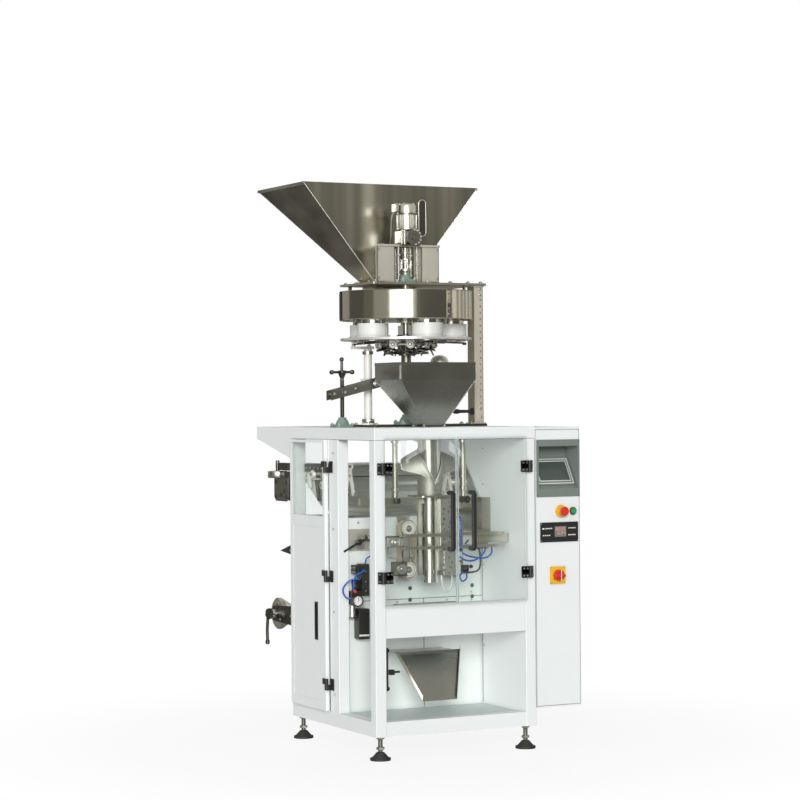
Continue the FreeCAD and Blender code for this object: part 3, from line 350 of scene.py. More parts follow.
def brush_group():
    """Long fine lines of brushed or rolled sheet: the lines, slow clouds and the relief."""
    tree, entry, out = group("Brush lines", ("Lines", "Clouds", "Normal"),
                             (("Across X", 4.0), ("Across Y", 4.0), ("Across Z", 600.0), ("Relief", 0.05)))
    plain, scaled = stretched(tree, entry)
    lines = new_node(tree, "TexNoise", Scale=1.0, Detail=6, Roughness=0.7)
    clouds = new_node(tree, "TexNoise", Scale=5.0, Detail=3)
    bump = new_node(tree, "Bump", Distance=0.0004)
    link = tree.links.new
    link(scaled, lines.inputs["Vector"])
    link(plain, clouds.inputs["Vector"])
    link(entry.outputs["Relief"], bump.inputs["Strength"])
    link(lines.outputs["Fac"], bump.inputs["Height"])
    link(lines.outputs["Fac"], out.inputs["Lines"])
    link(clouds.outputs["Fac"], out.inputs["Clouds"])
    link(bump.outputs["Normal"], out.inputs["Normal"])
    return tree


def reflection_streak_group():
    """Broad soft upright marks, like a blurred room mirrored in rolled sheet: the mask of a painted
    reflection.
    """
    tree, entry, out = group("Streaks", ("Mask",), (("Across X", 3.0), ("Across Y", 3.0), ("Across Z", 0.4)))
    scaled = stretched(tree, entry)[1]
    reflection_bands = new_node(tree, "TexNoise", Scale=1.0, Detail=2, Roughness=0.6)
    ramp = new_node(tree, "MapRange", From_Min=0.33, From_Max=0.67)
    tree.links.new(scaled, reflection_bands.inputs["Vector"])
    tree.links.new(reflection_bands.outputs["Fac"], ramp.inputs["Value"])
    tree.links.new(ramp.outputs["Result"], out.inputs["Mask"])
    return tree


def highlight_stripe_group():
    """One soft upright band at a place across the width: the mask of a painted highlight."""
    tree, entry, out = group("Highlight_stripe", ("Mask",), (("At", 0.0), ("Half", 0.1)))
    coord = new_node(tree, "TexCoord")
    split = new_node(tree, "SeparateXYZ")
    away = new_node(tree, "Math", "SUBTRACT")
    size = new_node(tree, "Math", "ABSOLUTE")
    fall = new_node(tree, "MapRange", To_Min=1.0, To_Max=0.0)
    fall.interpolation_type = "SMOOTHERSTEP"
    link = tree.links.new
    link(coord.outputs["Object"], split.inputs["Vector"])
    link(split.outputs["X"], away.inputs[0])
    link(entry.outputs["At"], away.inputs[1])
    link(away.outputs[0], size.inputs[0])
    link(size.outputs[0], fall.inputs["Value"])
    link(entry.outputs["Half"], fall.inputs["From Max"])
    link(fall.outputs["Result"], out.inputs["Mask"])
    return tree


def painted_shade_group():
    """How shut in a point is, as the mask of painted shade: near 1 in seams and corners, 0 on open faces."""
    tree, entry, out = group("Painted_shade", ("Mask",), (("Reach", 0.02),))
    ao = new_node(tree, "AmbientOcclusion")
    ao.samples = 6
    ramp = new_node(tree, "MapRange", From_Min=0.35, From_Max=0.95, To_Min=1.0, To_Max=0.0)
    tree.links.new(entry.outputs["Reach"], ao.inputs["Distance"])
    tree.links.new(ao.outputs["AO"], ramp.inputs["Value"])
    tree.links.new(ramp.outputs["Result"], out.inputs["Mask"])
    return tree


GROUP_MAKERS = {"mottle": mottle_group, "brush": brush_group, "painted_shade": painted_shade_group,
                "reflection_streak": reflection_streak_group, "highlight_stripe": highlight_stripe_group}
GROUPS = {}


def use_group(tree, name, **values):
    """A node that uses a shared group, with its numbers set."""
    if name not in GROUPS:
        GROUPS[name] = GROUP_MAKERS[name]()
    node = new_node(tree, "Group")
    node.node_tree = GROUPS[name]
    for label, value in values.items():
        node.inputs[label.replace("_", " ")].default_value = value
    return node


def mix_colour(tree, factor, low, high):
    """A colour between low and high, each a socket or a colour, by a socket."""
    node = new_node(tree, "Mix")
    node.data_type = "RGBA"
    tree.links.new(factor, node.inputs[0])
    for value, target in ((low, node.inputs[6]), (high, node.inputs[7])):
        if isinstance(value, bpy.types.NodeSocket):
            tree.links.new(value, target)
        else:
            target.default_value = (*value, 1.0)
    return node.outputs[2]


def shade(colour, by):
    """A colour made darker or lighter."""
    return tuple(min(1.0, c * by) for c in colour)


def with_painted_shade(tree, base, reach, seam, dark):
    """The base colour with painted shade: darker in seams and corners, where ambient occlusion finds them shut
    in.
    """
    painted_shade = use_group(tree, "painted_shade", Reach=reach)
    share = new_node(tree, "Math", "MULTIPLY")
    share.inputs[1].default_value = seam
    tree.links.new(painted_shade.outputs["Mask"], share.inputs[0])
    return mix_colour(tree, share.outputs[0], base, dark)


def mix_shaders(tree, first, second):
    """A mix of two shaders, left to get its share."""
    node = new_node(tree, "MixShader")
    tree.links.new(first, node.inputs[1])
    tree.links.new(second, node.inputs[2])
    return node


def end_in(tree, node):
    """Make a mix the surface of its material."""
    tree.links.new(node.outputs["Shader"], tree.nodes["Material Output"].inputs["Surface"])


FINISHES = {}


def new_material(name):
    """The node tree and the shader of a new finish."""
    mat = bpy.data.materials.new(name)
    mat.use_nodes = True
    FINISHES[name] = mat
    return mat.node_tree, mat.node_tree.nodes["Principled BSDF"]


def painted(name, colour, rough=0.4, specular=0.45, seam=0.35, relief=0.03):
    """Paint or moulded plastic: slight mottle, fine relief, and painted shade that darkens seams and corners
    by the seam share.
    """
    tree, shader = new_material(name)
    mottle = use_group(tree, "mottle", Scale=5.0, Relief=relief)
    base = mix_colour(tree, mottle.outputs["Mask"], shade(colour, 0.97), shade(colour, 1.03))
    # painted shade: darker towards seams and corners
    base = with_painted_shade(tree, base, SHADE_REACH, seam, shade(colour, 0.25))
    tree.links.new(base, shader.inputs["Base Color"])
    tree.links.new(mottle.outputs["Normal"], shader.inputs["Normal"])
    shader.inputs["Roughness"].default_value = rough
    shader.inputs["Specular IOR Level"].default_value = specular
    return shader


def metal(name, colour, rough=0.3, lines=(4.0, 4.0, 600.0), relief=0.05, spread=0.12, reflection_bands=None,
          metallic=1.0, painted_highlight=None):
    """Metal with fine lines. Painted reflection: darker upright marks from (X, Y, Z, share) numbers; painted
    highlight: one light upright band from (x, half, gain) numbers; and painted shade in seams and corners.
    """
    tree, shader = new_material(name)
    brush = use_group(tree, "brush", Across_X=lines[0], Across_Y=lines[1], Across_Z=lines[2], Relief=relief)
    base = mix_colour(tree, brush.outputs["Lines"], shade(colour, 1 - spread), shade(colour, 1 + spread))
    # painted reflection: darker upright marks, as if the sheet mirrored a dim room
    if reflection_bands:
        reflection_streak = use_group(tree, "reflection_streak", Across_X=reflection_bands[0], Across_Y=reflection_bands[1], Across_Z=reflection_bands[2])
        level = new_node(tree, "MapRange", To_Min=reflection_bands[3], To_Max=0.0)
        tree.links.new(reflection_streak.outputs["Mask"], level.inputs["Value"])
        base = mix_colour(tree, level.outputs["Result"], base, shade(colour, 0.3))
    # painted highlight: one light upright band across the width
    if painted_highlight:
        highlight_stripe = use_group(tree, "highlight_stripe", At=painted_highlight[0], Half=painted_highlight[1])
        base = mix_colour(tree, highlight_stripe.outputs["Mask"], base, shade(colour, painted_highlight[2]))
    # painted shade: darker in seams and corners
    base = with_painted_shade(tree, base, SHADE_REACH, 0.5, shade(colour, 0.12))
    tree.links.new(base, shader.inputs["Base Color"])
    ramp = new_node(tree, "MapRange", To_Min=rough * 0.75, To_Max=rough * 1.25)
    tree.links.new(brush.outputs["Clouds"], ramp.inputs["Value"])
    tree.links.new(ramp.outputs["Result"], shader.inputs["Roughness"])
    tree.links.new(brush.outputs["Normal"], shader.inputs["Normal"])
    shader.inputs["Metallic"].default_value = metallic


def clear_sheet(name, tint):
    """Clear sheet: see-through and faintly tinted, a thin reflection, and a small share of solid glass."""
    tree, shader = new_material(name)
    wipe = use_group(tree, "mottle", Scale=3.0)
    colour = mix_colour(tree, wipe.outputs["Mask"], shade(tint, 0.97), tint)
    tree.links.new(colour, shader.inputs["Base Color"])
    shader.inputs["Roughness"].default_value = 0.02
    shader.inputs["IOR"].default_value = GLASS_IOR
    shader.inputs["Transmission Weight"].default_value = 1.0
    through = new_node(tree, "BsdfTransparent")
    tree.links.new(colour, through.inputs["Color"])
    gloss = new_node(tree, "BsdfGlossy", Roughness=0.04)
    fresnel = new_node(tree, "Fresnel", IOR=GLASS_IOR)
    side = new_node(tree, "NewGeometry")
    outer = new_node(tree, "Math", "SUBTRACT")
    outer.inputs[0].default_value = 1.0
    front = new_node(tree, "Math", "MULTIPLY")
    tree.links.new(side.outputs["Backfacing"], outer.inputs[1])
    tree.links.new(fresnel.outputs["Fac"], front.inputs[0])
    tree.links.new(outer.outputs[0], front.inputs[1])
    thin = mix_shaders(tree, through.outputs["BSDF"], gloss.outputs["BSDF"])
    tree.links.new(front.outputs[0], thin.inputs["Fac"])
    whole = mix_shaders(tree, thin.outputs["Shader"], shader.outputs["BSDF"])
    whole.inputs["Fac"].default_value = 0.04
    end_in(tree, whole)


def glow(name, colour, strength):
    """A small lit piece, such as a digit."""
    shader = painted(name, colour, 0.5)
    shader.inputs["Emission Color"].default_value = (*colour, 1.0)
    shader.inputs["Emission Strength"].default_value = strength


def make_finishes(look):
    """All materials."""
    white = tuple(look.paint_colour)
    painted("paint", white, look.paint_rough, 0.4, seam=0.3)
    # a slightly darker copy of the paint for the side door: painted shade of a side face
    painted("paint_shaded_side", shade(white, 0.99), look.paint_rough, 0.4)
    painted("wall", (0.76, 0.80, 0.775), 0.5, 0.35)
    painted("tray", (0.55, 0.63, 0.62), 0.45, 0.35)
    painted("hmi_grey", (0.17, 0.20, 0.18), 0.45, 0.4)
    painted("screen", (0.06, 0.078, 0.07), 0.16, 0.6, relief=0.0)
    painted("black", (0.018, 0.018, 0.018), 0.38, 0.5)
    metal("dark", (0.13, 0.125, 0.11), 0.36, relief=0.03)
    metal("bar_steel", (0.29, 0.285, 0.255), 0.34, (6.0, 6.0, 300.0))
    metal("plate_steel", (0.60, 0.585, 0.50), 0.34, (6.0, 6.0, 300.0))
    metal("steel", (0.60, 0.585, 0.51), look.steel_rough, (5.0, 5.0, 500.0))
    # funnel and hopper steel carry painted reflection marks; the hopper steel also a painted highlight band
    metal("funnel_steel", (0.50, 0.51, 0.47), 0.27, (5.0, 5.0, 400.0), 0.04, 0.08,
          reflection_bands=(4.0, 4.0, 2.0, 0.35))
    metal("hopper_steel", (0.46, 0.445, 0.375), 0.25, (260.0, 260.0, 3.0), 0.05, 0.12,
          reflection_bands=(8.0, 3.0, 0.0, 0.75), painted_highlight=(-0.205, 0.06, 1.65))
    metal("disc_steel", (0.72, 0.71, 0.67), 0.28, (300.0, 6.0, 6.0), metallic=0.5)
    metal("polish", (0.66, 0.64, 0.56), 0.13, (3.0, 3.0, 420.0), 0.012, 0.05)
    metal("zinc", (0.72, 0.72, 0.68), 0.28, (300.0, 300.0, 300.0), 0.03)
    metal("alu", (0.78, 0.78, 0.73), 0.34, (200.0, 6.0, 6.0))
    metal("tube_steel", (0.74, 0.73, 0.67), 0.16, (3.0, 3.0, 160.0), 0.015, 0.05)
    metal("chrome", (0.80, 0.79, 0.74), 0.12, (4.0, 4.0, 300.0), 0.02, 0.06)
    metal("cast", (0.84, 0.82, 0.76), 0.5, (200.0, 200.0, 200.0), metallic=0.25)
    metal("wing_steel", (0.40, 0.39, 0.345), 0.5, (5.0, 5.0, 200.0), metallic=0.8)
    # a dark copy of the column steel for the column web: painted shade of its left face
    metal("web_shade_steel", (0.30, 0.27, 0.20), 0.4, (300.0, 300.0, 4.0), metallic=0.6)
    metal("column_steel", (0.58, 0.545, 0.45), 0.42, (300.0, 300.0, 4.0), metallic=0.4)
    # the bracket steel carries painted reflection marks
    metal("bracket_steel", (0.57, 0.55, 0.47), 0.42, (300.0, 300.0, 4.0), metallic=0.4,
          reflection_bands=(9.0, 9.0, 1.0, 0.2))
    # very light steel whose colour paints the highlight that rims, edges and welds catch
    metal("highlight_steel", (0.93, 0.92, 0.88), 0.5, (4.0, 4.0, 300.0), 0.02, 0.04)
    painted("white_plastic", (0.66, 0.67, 0.63), 0.4, 0.4, seam=0.5)
    painted("ivory", (0.70, 0.69, 0.64), 0.3, 0.5)
    painted("rubber", (0.03, 0.032, 0.03), 0.62, 0.35, relief=0.08)
    painted("belt", (0.36, 0.31, 0.23), 0.6, 0.3, relief=0.1)
    clear_sheet("clear", tuple(look.clear_tint))
    painted("blue", (0.02, 0.11, 0.45), 0.25, 0.5)
    painted("yellow", (0.80, 0.47, 0.02), 0.4, 0.45)
    painted("red", (0.62, 0.035, 0.018), 0.3, 0.5)
    painted("green", (0.02, 0.30, 0.12), 0.35, 0.5)
    painted("bearing_green", (0.18, 0.25, 0.21), 0.45, 0.4, relief=0.08)
    glow("digit", (0.85, 0.25, 0.18), 0.4)
    painted("dial", (0.78, 0.78, 0.75), 0.3)


NODE_FINISH = {
    "paint": ("frame_left", "frame_right", "frame_crossbars", "deck", "rear_panel", "control_cabinet"),
    "paint_shaded_side": ("side_door",),
    "wall": ("inner_wall",),
    "tray": ("floor_tray",),
    "hmi_grey": ("screen_panel",),
    "black": ("temperature_panel", "door_hinges", "side_door_fittings", "air_regulator"),
    "yellow": ("control_plates",),
    "red": ("stop_button", "switch_knob"),
    "green": ("start_button",),
    "clear": ("front_door_left", "front_door_right", "side_window"),
    "tube_steel": ("forming_tube",),
    "chrome": ("spindle", "film_roll_shaft", "metal_cups"),
    "steel": ("former_plate", "seal_guides"),
    "funnel_steel": ("discharge_funnel", "bag_chute"),
    "hopper_steel": ("bulk_hopper",),
    "disc_steel": ("lower_disc", "upper_disc"),
    "plate_steel": ("top_plate",),
    "bar_steel": ("adjusting_lever", "lift_sleeve"),
    "polish": ("product_ring",),
    "belt": ("film_belts",),
    "alu": ("belt_drives", "vertical_sealer", "film_rollers", "lever_nut"),
    "zinc": ("cup_flaps",),
    "dark": ("sealing_jaws", "valve_island", "film_roll_carrier", "switch_box", "base_plate", "star_handle"),
    "white_plastic": ("measuring_cups",),
    "ivory": ("trip_post",),
    "bearing_green": ("flange_bearings",),
    "rubber": ("levelling_feet",),
    "blue": ("air_hoses",),
}


def dress_nodes():
    """Give every frame node its finish."""
    for name, nodes in NODE_FINISH.items():
        for node in nodes:
            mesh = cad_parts[node].data
            mesh.materials.clear()
            mesh.materials.append(FINISHES[name])


# Small fittings


def door_fittings(fast):
    """Pull bars, hinge leaves with their screws, and the edge strips of the front doors."""
    r = fast.screw_radius
    for side, xp, s, grip in (("left", 32.0, 1, 346.0), ("right", 746.0, -1, 448.0)):
        fixed, moving, screws, edge = Piece(), Piece(), Piece(), Piece()
        moving.block(grip - 10, grip + 10, -60, -43, 880, 1124, 4)
        for z in (882.0, 1122.0):
            moving.block(grip - 9, grip + 9, -50, -11, z - 9, z + 9, 3)
            screws.cap_screw((grip, -2.9, z), BACK, 4.5)
        for z in (770.0, 1228.0):
            ends = sorted((xp + s * 6, xp + s * 45))
            moving.block(*ends, -18, -11, z - 8, z + 25, 0.8)
            ends = sorted((xp + s * 10, xp + s * 45))
            moving.block(*ends, -18, -11, z - 25, z + 25, 0.8)
            moving.ring((xp, -14, z - 8.3), UP, [(0, 4.1), (0, 8), (33.3, 8), (33.3, 4.1)], 24)
            for dz in (-15, 15):
                fixed.cap_screw((xp - s * 13, -4, z + dz), FRONT, r)
                for along in (19, 36):
                    screws.cap_screw((xp + s * along, -18, z + dz), FRONT, r)
        x = TUBE[0] - s * 3.6
        edge.block(min(x, x - s * 2.6), max(x, x - s * 2.6), -11.4, -2.6, 650, 1350, 0.3)
        fixed.build("hinge_screws_" + side, "zinc")
        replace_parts(moving.build("door_pull_" + side, "black", ride=side + "_door"), side + "_door_fittings")
        screws.build("door_screws_" + side, "zinc", ride=side + "_door")
        edge.build("door_edge_" + side, "tray", ride=side + "_door")


def foot_details():
    """Threads and hexagon nuts on the levelling feet."""
    threads, nuts = Piece(), Piece()
    for x in (36.0, 742.0):
        for y in (36.0, 809.0):
            profile = [(0, 9.2)]
            for k in range(26):
                profile += [(k * 2.0 + 0.4, 9.2), (k * 2.0 + 1.1, 10.4), (k * 2.0 + 1.8, 9.2)]
            threads.lathe((x, y, 36), UP, profile, 16)
            for z in (45.0, 89.0):
                nuts.lathe((x, y, z), UP, [(0, 15.5), (1, 17.5), (10, 17.5), (11, 15.5)], 6)
    threads.build("foot_threads", "zinc")
    nuts.build("foot_nuts", "zinc")


def frame_details(fast):
    """Seam covers, sheet joints and bolts on the frame, deck and wall."""
    seams, bolts = Piece(), Piece()
    seams.block(1.5, 777, -0.4, 1, 1347.6, 1349.4, 0.3)
    seams.block(-0.4, 1, 1.5, 844, 1347.6, 1349.4, 0.3)
    seams.block(777.2, 778.4, -0.4, 1.2, 176, 1346, 0.3)
    seams.block(52, 726, 388.8, 390.4, 640, 642.5, 0.4)
    seams.block(431, 433.4, 388.8, 390.4, 162, 640, 0.4)
    seams.block(727.2, 728.4, 384, 386.5, 165, 1000, 0.4)
    seams.build("sheet_seams", "dark")
    for x, z in ((112, 630), (112, 595), (672, 660), (672, 625), (300, 630), (550, 630), (112, 985),
                 (672, 985)):
        bolts.cap_screw((x, WALL_FRONT, z), FRONT, fast.screw_radius)
    for z in (420, 600, 780, 960, 1140, 1300):
        bolts.cap_screw((728, 372, z), LEFT, fast.screw_radius * 0.9)
    bolts.build("wall_screws", "zinc")
    side = Piece()
    for z in (240, 600, 960, 1290):
        for y in (820, 402):
            side.cap_screw((0, y, z), LEFT, fast.screw_radius)
    side.build("side_screws", "zinc")


def screen_details():
    """Bezel, screen and linings of the tilted touch panel."""
    bezel, glass, lines = Piece(), Piece(), Piece()
    x0, x1 = 797.0, 997.0
    foot_y, foot_z = 15, 1134
    run, rise = 80, 131

    def on_face(x, along, lift):
        """A point on the tilted screen face, along it from its foot, lifted off it."""
        length = math.hypot(run, rise)
        dy, dz = run / length, rise / length
        return (x, foot_y + dy * along - dz * lift, foot_z + dz * along + dy * lift)

    def tilted(piece, xa, xb, a, b, lift0, lift1, r=1.0):
        """A flat block on the tilted face."""
        pts = [on_face(xa, a, lift0), on_face(xb, a, lift0), on_face(xb, b, lift0), on_face(xa, b, lift0)]
        up = Vector(on_face(0, 0, lift1)) - Vector(on_face(0, 0, lift0))
        piece.slab(pts, up, r)

    tilted(bezel, x0 + 1, x1 - 2, 6, 146, -0.5, 5, 2)
    tilted(lines, x0 + 9, x1 - 9, 13, 139, 4.8, 5.6, 0.4)
    tilted(bezel, x0 + 13, x1 - 13, 17, 135, 5.0, 6.2, 0.6)
    tilted(lines, x0 + 20, x1 - 20, 25, 127, 6.0, 6.6, 0.4)
    tilted(glass, x0 + 24, x1 - 24, 29, 123, 6.4, 7.2, 0.4)
    bezel.build("screen_bezel", "hmi_grey")
    lining = Piece()
    lining.block(996.2, 997.8, -2.4, 108, 1127, 1312, 0.4)
    lining.block(796.2, 797.6, -2.4, 108, 1127, 1312, 0.4)
    lining.block(798, 996, -2.4, 108, 1311, 1312.6, 0.4)
    lining.build("screen_lining", "hmi_grey")
    lines.build("screen_lines", "white_plastic")
    glass.build("screen_glass", "screen")


def panel_details():
    """Marks, display, tags, screws and door seam of the control cabinet, and the knob's pointer."""
    marks, screws = Piece(), Piece()
    marks.block(812, 822, -5, -3.8, 950, 956, 0.3)
    for k in range(4):
        marks.block(828 + k * 9, 834 + k * 9, -5, -3.8, 951, 956, 0.3)
        marks.block(943 + k * 10, 950 + k * 10, -5, -3.8, 951, 956, 0.3)
        marks.block(943 + k * 10, 950 + k * 10, -5, -3.8, 921, 926, 0.3)
        marks.block(814 + k * 10, 821 + k * 10, -5, -3.8, 921, 926, 0.3)
    marks.build("panel_marks", "dial")
    display = Piece()
    display.block(874, 932, -6.5, -3.5, 916, 962, 1.5)
    display.build("display_frame", "hmi_grey")
    digits = Piece()
    for z, row in ((944.0, (8, 0, 3, 5)), (926.0, (1, 6, 2, 4))):
        for k, digit in enumerate(row):
            seven_segment(digits, 880 + k * 12.5, z, digit)
    digits.build("display_digits", "digit")
    for x in (807, 991):
        for z in (900, 974):
            screws.cap_screw((x, -4, z), FRONT, 2.6)
    for x, z in ((792, 1099), (1001, 1099), (792, 1333), (1001, 1333)):
        screws.cap_screw((x, -2.5, z), FRONT, 2.8)
    for x in (855, 921):
        for z in (716, 782):
            screws.cap_screw((x, -6, z), FRONT, 2.8)
    screws.build("panel_screws", "zinc")
    trim, dark = Piece(), Piece()
    dark.ring((966, -7.2, 1028), FRONT, [(0, 13), (0, 17), (3.5, 17), (3.5, 13.4)], 28)
    dark.build("start_bezel", "black")
    trim.block(953, 979, -1.6, 0.2, 990, 1004, 0.5)
    trim.build("start_tag", "dial")
    seam = Piece()
    for z in (181, 1384):
        seam.block(781, 1003, -0.4, 0.6, z, z + 2, 0.3)
    for x in (781, 1001.5):
        seam.block(x, x + 1.6, -0.4, 0.6, 181, 1386, 0.3)
    seam.build("cabinet_seam", "dark")
    dot = Piece()
    dot.lathe((868, -6, 731), FRONT, [(0, 3.2), (1, 3.2), (1.6, 2.2)], 14)
    dot.build("switch_dot", "red")
    pointer = Piece()
    pointer.block(886.4, 889.6, -37, -35.6, 726, 772, 0.4)
    pointer.build("knob_pointer", "dial", ride="mains_knob")


def seven_segment(piece, x, z, digit):
    """One plain digit of bars, 8 mm wide and 13 mm high, on the display."""
    bars = {"a": (1, 7, 12, 13.2), "g": (1, 7, 6, 7.2), "d": (1, 7, 0, 1.2), "f": (0, 1.2, 7, 12),
            "b": (6.8, 8, 7, 12), "e": (0, 1.2, 1.2, 6), "c": (6.8, 8, 1.2, 6)}
    lit = ("abcdef", "bc", "abged", "abgcd", "fgbc", "afgcd", "afgedc", "abc", "abcdefg", "abfgcd")[digit]
    for key in lit:
        left, right, low, high = bars[key]
        piece.block(x + left, x + right, -7.2, -6.2, z + low, z + high, 0.2)


def puller_details():
    """Motor, shafts, pulley faces and guide block of the film puller."""
    dark, bright, belt = Piece(), Piece(), Piece()
    dark.block(205, 258, 205, 262, 760, 816, 3)
    bright.lathe((231, 205, 788), FRONT, [(0, 22), (4, 22), (6, 20), (6, 8), (12, 8), (13, 7)], 28)
    for k in range(5):
        dark.block(203, 260, 210 + k * 10, 214 + k * 10, 758, 818, 1)
    shaft = [(0, 8), (3, 12), (40, 12), (42, 15), (84, 15), (86, 9), (130, 9)]
    bright.lathe((118, TUBE[1], 900), RIGHT, shaft, 22)
    dark.block(142, 236, 232, 262, 918, 930, 1.5)
    dark.block(142, 156, 250, 390, 905, 930, 1.5)
    for s in (-1, 1):
        x = TUBE[0] + s * 115
        for z in (783.0, 961.0):
            bright.lathe((x, 219, z), FRONT, [(0, 13), (5, 13), (7, 11)], 22)
            bright.cap_screw((x, 212, z), FRONT, 6)
            belt.ring((x, 221.5, z), FRONT, [(0, 28), (0, 32), (2, 32), (2, 28)], 36)
            belt.ring((x, 221.5, z), FRONT, [(0, 14), (0, 25), (1, 25), (1, 14)], 36)
        bright.bolt((x + 16, 222, 842), FRONT, 6)
    dark.build("puller_motor", "bar_steel")
    bright.build("puller_fittings", "zinc")
    belt.build("pulley_rims", "cast")
    block = Piece()
    block.block(128, 204, 128, 150, 888, 930, 3)
    block.lathe((158, 128, 909), FRONT, [(0, 15), (6, 15), (9, 11), (15, 9), (17, 5)], 24)
    block.block(178, 200, 122, 130, 894, 924, 2)
    for z in (896, 922):
        block.bolt((138, 128, z), FRONT, 4)
    block.build("guide_block", "alu")


def valve_details():
    """Valves beside the sealer, the tube under it and the screws of its plates."""
    tube, valves, screws = Piece(), Piece(), Piece()
    tube.hose([(396, 150, 757), (396, 148, 735), (402, 147, 706), (411, 147, 692), (421, 147, 688),
               (431, 147, 692), (440, 147, 706), (446, 148, 735), (446, 150, 757)], 4.2)
    tube.build("cooling_tube", "white_plastic")
    for k, x in enumerate((474.0, 500.0, 526.0)):
        valves.block(x, x + 22, 262, 300, 745, 800 + 6 * (k % 2), 2)
        valves.lathe((x + 11, 281, 800), UP, [(0, 7), (14, 7), (16, 5)], 14)
        screws.cap_screw((x + 6, 262, 752), FRONT, 2.6)
        screws.cap_screw((x + 16, 262, 790), FRONT, 2.6)
    valves.block(470, 552, 300, 390, 752, 766, 1)
    valves.build("solenoid_valves", "dark")
    for x, z in ((392, 880), (430, 880), (392, 980), (430, 980), (392, 1075), (430, 1075)):
        screws.cap_screw((x, 141, z), FRONT, 3.4)
    for x, z in ((416, 770), (454, 770), (416, 850), (454, 850)):
        screws.cap_screw((x, 141, z), FRONT, 3.4)
    for x, z in ((574, 876), (614, 876), (574, 940), (614, 940)):
        screws.cap_screw((x, 141, z), FRONT, 3.8)
    for x in (206, 690):
        for z in (881, 935):
            screws.cap_screw((x, 127, z), FRONT, 4)
    screws.build("film_screws", "zinc")


def sealer_details():
    """Air lines and knobs of the vertical sealer, and dark marks that paint the shade inside its holes."""
    lines, knob = Piece(), Piece()
    for x in (472.0, 485.0):
        lines.hose([(x, 150, 1010), (x, 134, 996), (x - 2, 130, 940), (x, 130, 880), (x + 6, 138, 862)], 3.4)
    lines.hose([(491, 136, 852), (520, 130, 838), (565, 129, 829), (600, 130, 828), (622, 132, 836),
                (637, 136, 852), (638, 140, 876)], 3.8)
    lines.hose([(480, 140, 838), (500, 130, 822), (540, 128, 818), (580, 130, 836), (602, 134, 860),
                (604, 142, 880)], 3.8)
    lines.hose([(494, 136, 770), (474, 130, 752), (486, 130, 730), (508, 132, 742), (512, 140, 764)], 3.4)
    lines.build("sealer_lines", "blue")
    knob.block(492, 520, 130, 152, 762, 800, 2)
    knob.lathe((506, 130, 784), FRONT, [(0, 10), (8, 10), (10, 7)], 18)
    knob.lathe((470, 139, 1040), FRONT, [(0, 9), (8, 9), (10, 6)], 18)
    knob.lathe((536, 146, 792), FRONT, [(0, 8), (9, 8), (11, 5)], 18)
    knob.hose([(572, 140, 878), (577, 132, 840), (576, 130, 796), (560, 131, 772), (522, 140, 766)], 4.2)
    knob.build("sealer_valve", "black")
    # dark discs and bars stand for holes: painted shade inside them
    holes = Piece()
    for k in range(14):
        z = 760 + k * 22
        radius = 3.2 + k % 3
        x = 424 + 8 * (k % 3)
        holes.lathe((399 + 6 * (k % 2), 140.8, z), FRONT, [(0, radius), (0.5, radius)], 12)
        holes.block(x, x + 7, 140.2, 140.8, z + 6, z + 12, 0.2)
    holes.build("sealer_holes", "bar_steel")


def wall_details():
    """Plugs in the inner wall, bearing blocks in front of it and the valve cables."""
    panel = Piece()
    for x, z in ((365, 688), (364, 637), (677, 688), (677, 639)):
        panel.lathe((x, 389.8, z), FRONT, [(0, 9), (1.5, 9), (2, 7)], 18)
    panel.build("panel_plugs", "dark")
    pads = Piece()
    pads.block(470, 505, 158, 196, 820, 856, 2)
    pads.block(512, 540, 150, 190, 866, 888, 2)
    pads.build("bearing_blocks", "white_plastic")
    cable = Piece()
    cable.hose([(531, 270, 818), (534, 250, 850), (540, 210, 880), (545, 180, 905)], 3.4)
    cable.hose([(505, 290, 816), (498, 300, 870), (494, 340, 930), (494, 386, 960)], 3.2)
    cable.build("valve_cables", "black")


def former_details():
    """Collars on the support rods of the former, and its clamp knobs."""
    rod = Piece()
    for s in (-1, 1):
        x = TUBE[0] + s * 168
        rod.lathe((x, TUBE[1], 1330), UP, [(0, 14), (1, 18), (16, 18), (17, 14)], 24)
        rod.lathe((x, TUBE[1], 1122), UP, [(0, 14), (1, 17), (14, 17), (15, 14)], 24)
    rod.build("rod_collars", "chrome")
    knobs = Piece()
    knobs.lathe((557, 233, 1081), FRONT, [(0, 6), (10, 6), (12, 14), (26, 16), (30, 12)], 20)
    knobs.lathe((221, 233, 1081), FRONT, [(0, 6), (8, 6), (10, 11), (18, 12), (20, 9)], 20)
    knobs.build("former_knobs", "black")


